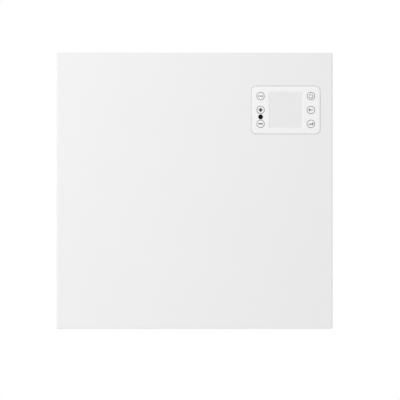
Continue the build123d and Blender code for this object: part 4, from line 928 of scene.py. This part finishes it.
class HEATER_OT_mark_rocker(bpy.types.Operator):
    """Marks the rocker's upper end with a bar for on and its lower end with a ring for off"""

    bl_idname = "heater.mark_rocker"
    bl_label = "Mark the rocker"

    def execute(self, context):
        hinge = next(joint for joint in frame["joints"] if joint["name"] == "rocker_tilt")
        pivot = np.array(hinge["pos_m"])
        # At rest the rocker is tilted, and its hollow face is part of a cylinder. The lengths
        # are in millimetres, and the face's is its distance from the hinge
        tilt, hollow, face = math.radians(9.0), 40.9, 7.47
        place, half_mark, half_line, thick = 5.2, 1.7, 0.28, 0.12
        out = np.array([math.cos(tilt), 0.0, -math.sin(tilt)])
        up = np.array([math.sin(tilt), 0.0, math.cos(tilt)])
        white = printed_ink("rocker_ink", (0.75, 0.75, 0.75))
        bar = stroke((0, -half_mark), (0, half_mark))
        ring = arc((0, 0), half_mark, 0.0, 359.0)
        grids = []
        for height, path in ((place, bar), (-place, ring)):
            lean = height / hollow
            facing = out * math.cos(lean) - up * math.sin(lean)
            along = up * math.cos(lean) + out * math.sin(lean)
            seat = pivot + (out * face + up * height) * MM
            flat = bead(path, half_line, thick, ((0, 1, 0), along, facing))
            grids.append(seat + flat * MM)
        closed_mesh("rocker_marks", grids, white, "rocker")
        return {"FINISHED"}


class HEATER_OT_make_screws(bpy.types.Operator):
    """Makes the cross-head screws of the flange, grilles and entry cover"""

    bl_idname = "heater.make_screws"
    bl_label = "Make the screws"

    def execute(self, context):
        zinc = plated("screw_zinc", (0.68, 0.68, 0.69), 0.28)
        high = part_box("panel_screws")[1]
        # Radius and height of the head, then radius and length of the shank
        radius, height, *shank = 3.0 * MM, 1.8 * MM, 1.6 * MM, 9.0 * MM
        side, top = high.x - radius, high.z - radius
        seat = high.y - height
        row = (-0.15, 0.0, 0.15)
        spots = [(x, z) for x in row for z in (-top, top)]
        spots += [(x, z) for x in (-side, side) for z in row]
        grids = [
            cross_screw((x, seat, z), (0, 1, 0), radius, height, *shank) for x, z in spots
        ]
        flange = closed_mesh("flange_screws", grids, zinc, "heater")
        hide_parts("panel_screws")
        radius, height, *shank = 2.2 * MM, 1.3 * MM, 1.2 * MM, 5.0 * MM
        gap, around = 2.0 * MM, 3.0 * MM
        grids = []
        points = corners_of("grille_screws")
        for axis in (1, -1):
            side = points[points[:, 2] * axis > 0]
            for across in middles(side[:, 0], gap):
                own = side[abs(side[:, 0] - across) < around]
                depth = (own[:, 1].min() + own[:, 1].max()) / 2
                level = axis * (abs(own[:, 2]).max() - height)
                place = (across, depth, level)
                grids.append(cross_screw(place, (0, 0, axis), radius, height, *shank))
        covers = closed_mesh("cover_screws", grids, zinc, "heater")
        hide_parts("grille_screws")
        return {"FINISHED"}


class HEATER_OT_make_gland(bpy.types.Operator):
    """Makes the cord gland with its finger grips and thread"""

    bl_idname = "heater.make_gland"
    bl_label = "Make the cord gland"

    def execute(self, context):
        low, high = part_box("cord_gland")
        middle = ((low.x + high.x) / 2, (low.y + high.y) / 2, 0.0)
        skirt = low.z + 6.0 * MM
        wide, thread, bore = 8.5 * MM, 6.2 * MM, 3.6 * MM
        corner, deep, pitch, gap = 2.5 * MM, 0.35 * MM, 1.5 * MM, 0.1 * MM
        bend = np.linspace(0, np.pi / 2, 9)
        across, upward = corner * (1 - np.sin(bend)), corner * (1 - np.cos(bend))
        outline = np.concatenate(
            [
                resampled([(bore, low.z), (wide - corner, low.z)], 6)[:-1],
                np.stack([wide - across, low.z + upward], axis=1),
                resampled([(wide, low.z + corner + gap), (wide, skirt), (thread, skirt)], 18),
                resampled([(thread, skirt + gap), (thread, high.z), (bore, high.z)], 60),
                resampled([(bore, high.z), (bore, low.z)], 12)[1:],
            ]
        )
        grips = context.scene.heater_detail.gland_grips

        def waver(radius, height, angle):
            """Cuts a cosine wave round the skirt and a slanting one into the thread.

            The top 0.8 mm of the skirt and the first 0.3 mm of the thread stay smooth.
            """
            grip = (1 - np.cos(grips * angle)) / 2 * deep
            on_skirt = (radius > thread + 0.5 * MM) & (height < skirt - 0.8 * MM)
            ridge = (1 - np.cos(angle + 2 * np.pi * height / pitch)) / 2 * deep
            on_thread = (abs(radius - thread) < 0.05 * MM) & (height > skirt + 0.3 * MM)
            return radius - grip * on_skirt - ridge * on_thread, height

        grid = turned(outline, middle, (0, 0, 1), 144, waver)
        nylon = moulded("gland_nylon", (0.78, 0.78, 0.77), 0.42)
        gland = closed_mesh("gripped_gland", [grid], nylon, "heater")
        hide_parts("cord_gland")
        return {"FINISHED"}


class HEATER_OT_build_studio(bpy.types.Operator):
    """Builds the floor, both lamps, the white surroundings and the camera"""

    bl_idname = "heater.build_studio"
    bl_label = "Build the studio"

    def execute(self, context):
        scene = context.scene
        studio = scene.heater_studio
        # The floor is a disc: a point at reach r and angle t is r (cos t, sin t)
        radius, rings, spokes = 3.2, 24, 72
        reach = np.linspace(0.0, radius, rings)[:, None, None]
        angle = np.linspace(0, 2 * np.pi, spokes, endpoint=False)[None, :, None]
        across, along = reach * np.cos(angle), reach * np.sin(angle)
        flat = np.concatenate([across, along, across * 0], axis=2)
        flat[..., 2] -= studio.floor_drop
        mesh = bpy.data.meshes.new("floor")
        index = np.arange(rings * spokes).reshape(rings, spokes)
        ahead = np.roll(index, -1, axis=1)
        quads = np.stack([index[:-1], index[1:], ahead[1:], ahead[:-1]], axis=-1)
        mesh.from_pydata(flat.reshape(-1, 3).tolist(), [], quads.reshape(-1, 4).tolist())
        floor = bpy.data.objects.new("floor", mesh)
        scene.collection.objects.link(floor)
        mesh.materials.append(studio_floor("floor_paper", (0.93, 0.93, 0.93), 0.7, 2.2))

        lamp_side, target = 1.8, Vector((0.0, -0.08, 0.0))
        for name, place, power in (
            ("lamp_upper_left", (-2.0, -2.9, 1.75), studio.lamp_power),
            ("lamp_behind", (1.5, 3.0, 1.6), studio.rear_lamp_power),
        ):
            lamp = bpy.data.lights.new(name, "AREA")
            lamp.shape = "SQUARE"
            lamp.size = lamp_side
            lamp.energy = power
            holder = bpy.data.objects.new(name, lamp)
            holder.location = place
            aim = target - holder.location
            holder.rotation_euler = aim.to_track_quat("-Z", "Y").to_euler()
            scene.collection.objects.link(holder)

        scene.world = studio_world("studio_surroundings", studio.ambient)
        scene.view_settings.view_transform = "Standard"

        # The photograph's frame is 400 pixels of 1.558 mm at the face of the panel, and its
        # middle lies right of the heater's middle and below it
        pixels, pixel, right, below = 400, 1.558, 8.6 * MM, 14.3 * MM
        width = pixels * pixel * MM
        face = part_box("front_panel")[0].y
        eye = bpy.data.cameras.new("camera")
        eye.sensor_width = 36.0
        eye.lens = eye.sensor_width * studio.camera_distance / width
        eye.clip_end = 100.0
        camera = bpy.data.objects.new("camera", eye)
        camera.location = (right, face - studio.camera_distance, -below)
        camera.rotation_euler = (math.pi / 2, 0.0, 0.0)
        scene.collection.objects.link(camera)
        scene.camera = camera
        return {"FINISHED"}


STEPS = (
    HEATER_OT_paint_sheets,
    HEATER_OT_finish_metals,
    HEATER_OT_finish_plastics,
    HEATER_OT_finish_electrics,
    HEATER_OT_print_keys,
    HEATER_OT_seal_window,
    HEATER_OT_mark_rocker,
    HEATER_OT_make_screws,
    HEATER_OT_make_gland,
    HEATER_OT_build_studio,
)


class HEATER_PT_steps(bpy.types.Panel):
    """Lists the steps that dress the heater"""

    bl_idname = "HEATER_PT_steps"
    bl_label = "Convector heater"
    bl_space_type = "VIEW_3D"
    bl_region_type = "UI"
    bl_category = "Heater"

    def draw(self, context):
        for group in ("heater_colours", "heater_detail", "heater_studio"):
            values = getattr(context.scene, group)
            for name in values.__annotations__:
                self.layout.prop(values, name)
        for step in STEPS:
            self.layout.operator(step.bl_idname)


GROUPS = {
    "heater_colours": HeaterColours,
    "heater_detail": HeaterDetail,
    "heater_studio": HeaterStudio,
}


def register():
    for cls in (*GROUPS.values(), *STEPS, HEATER_PT_steps):
        bpy.utils.register_class(cls)
    for name, group in GROUPS.items():
        setattr(bpy.types.Scene, name, PointerProperty(type=group))


def unregister():
    for name in GROUPS:
        delattr(bpy.types.Scene, name)
    for cls in (HEATER_PT_steps, *reversed(STEPS), *reversed(GROUPS.values())):
        bpy.utils.unregister_class(cls)


def main():
    """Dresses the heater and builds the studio."""
    register()
    for step in STEPS:
        group, name = step.bl_idname.split(".")
        getattr(getattr(bpy.ops, group), name)()
    bpy.context.view_layer.update()


if __name__ == "__main__":
    main()
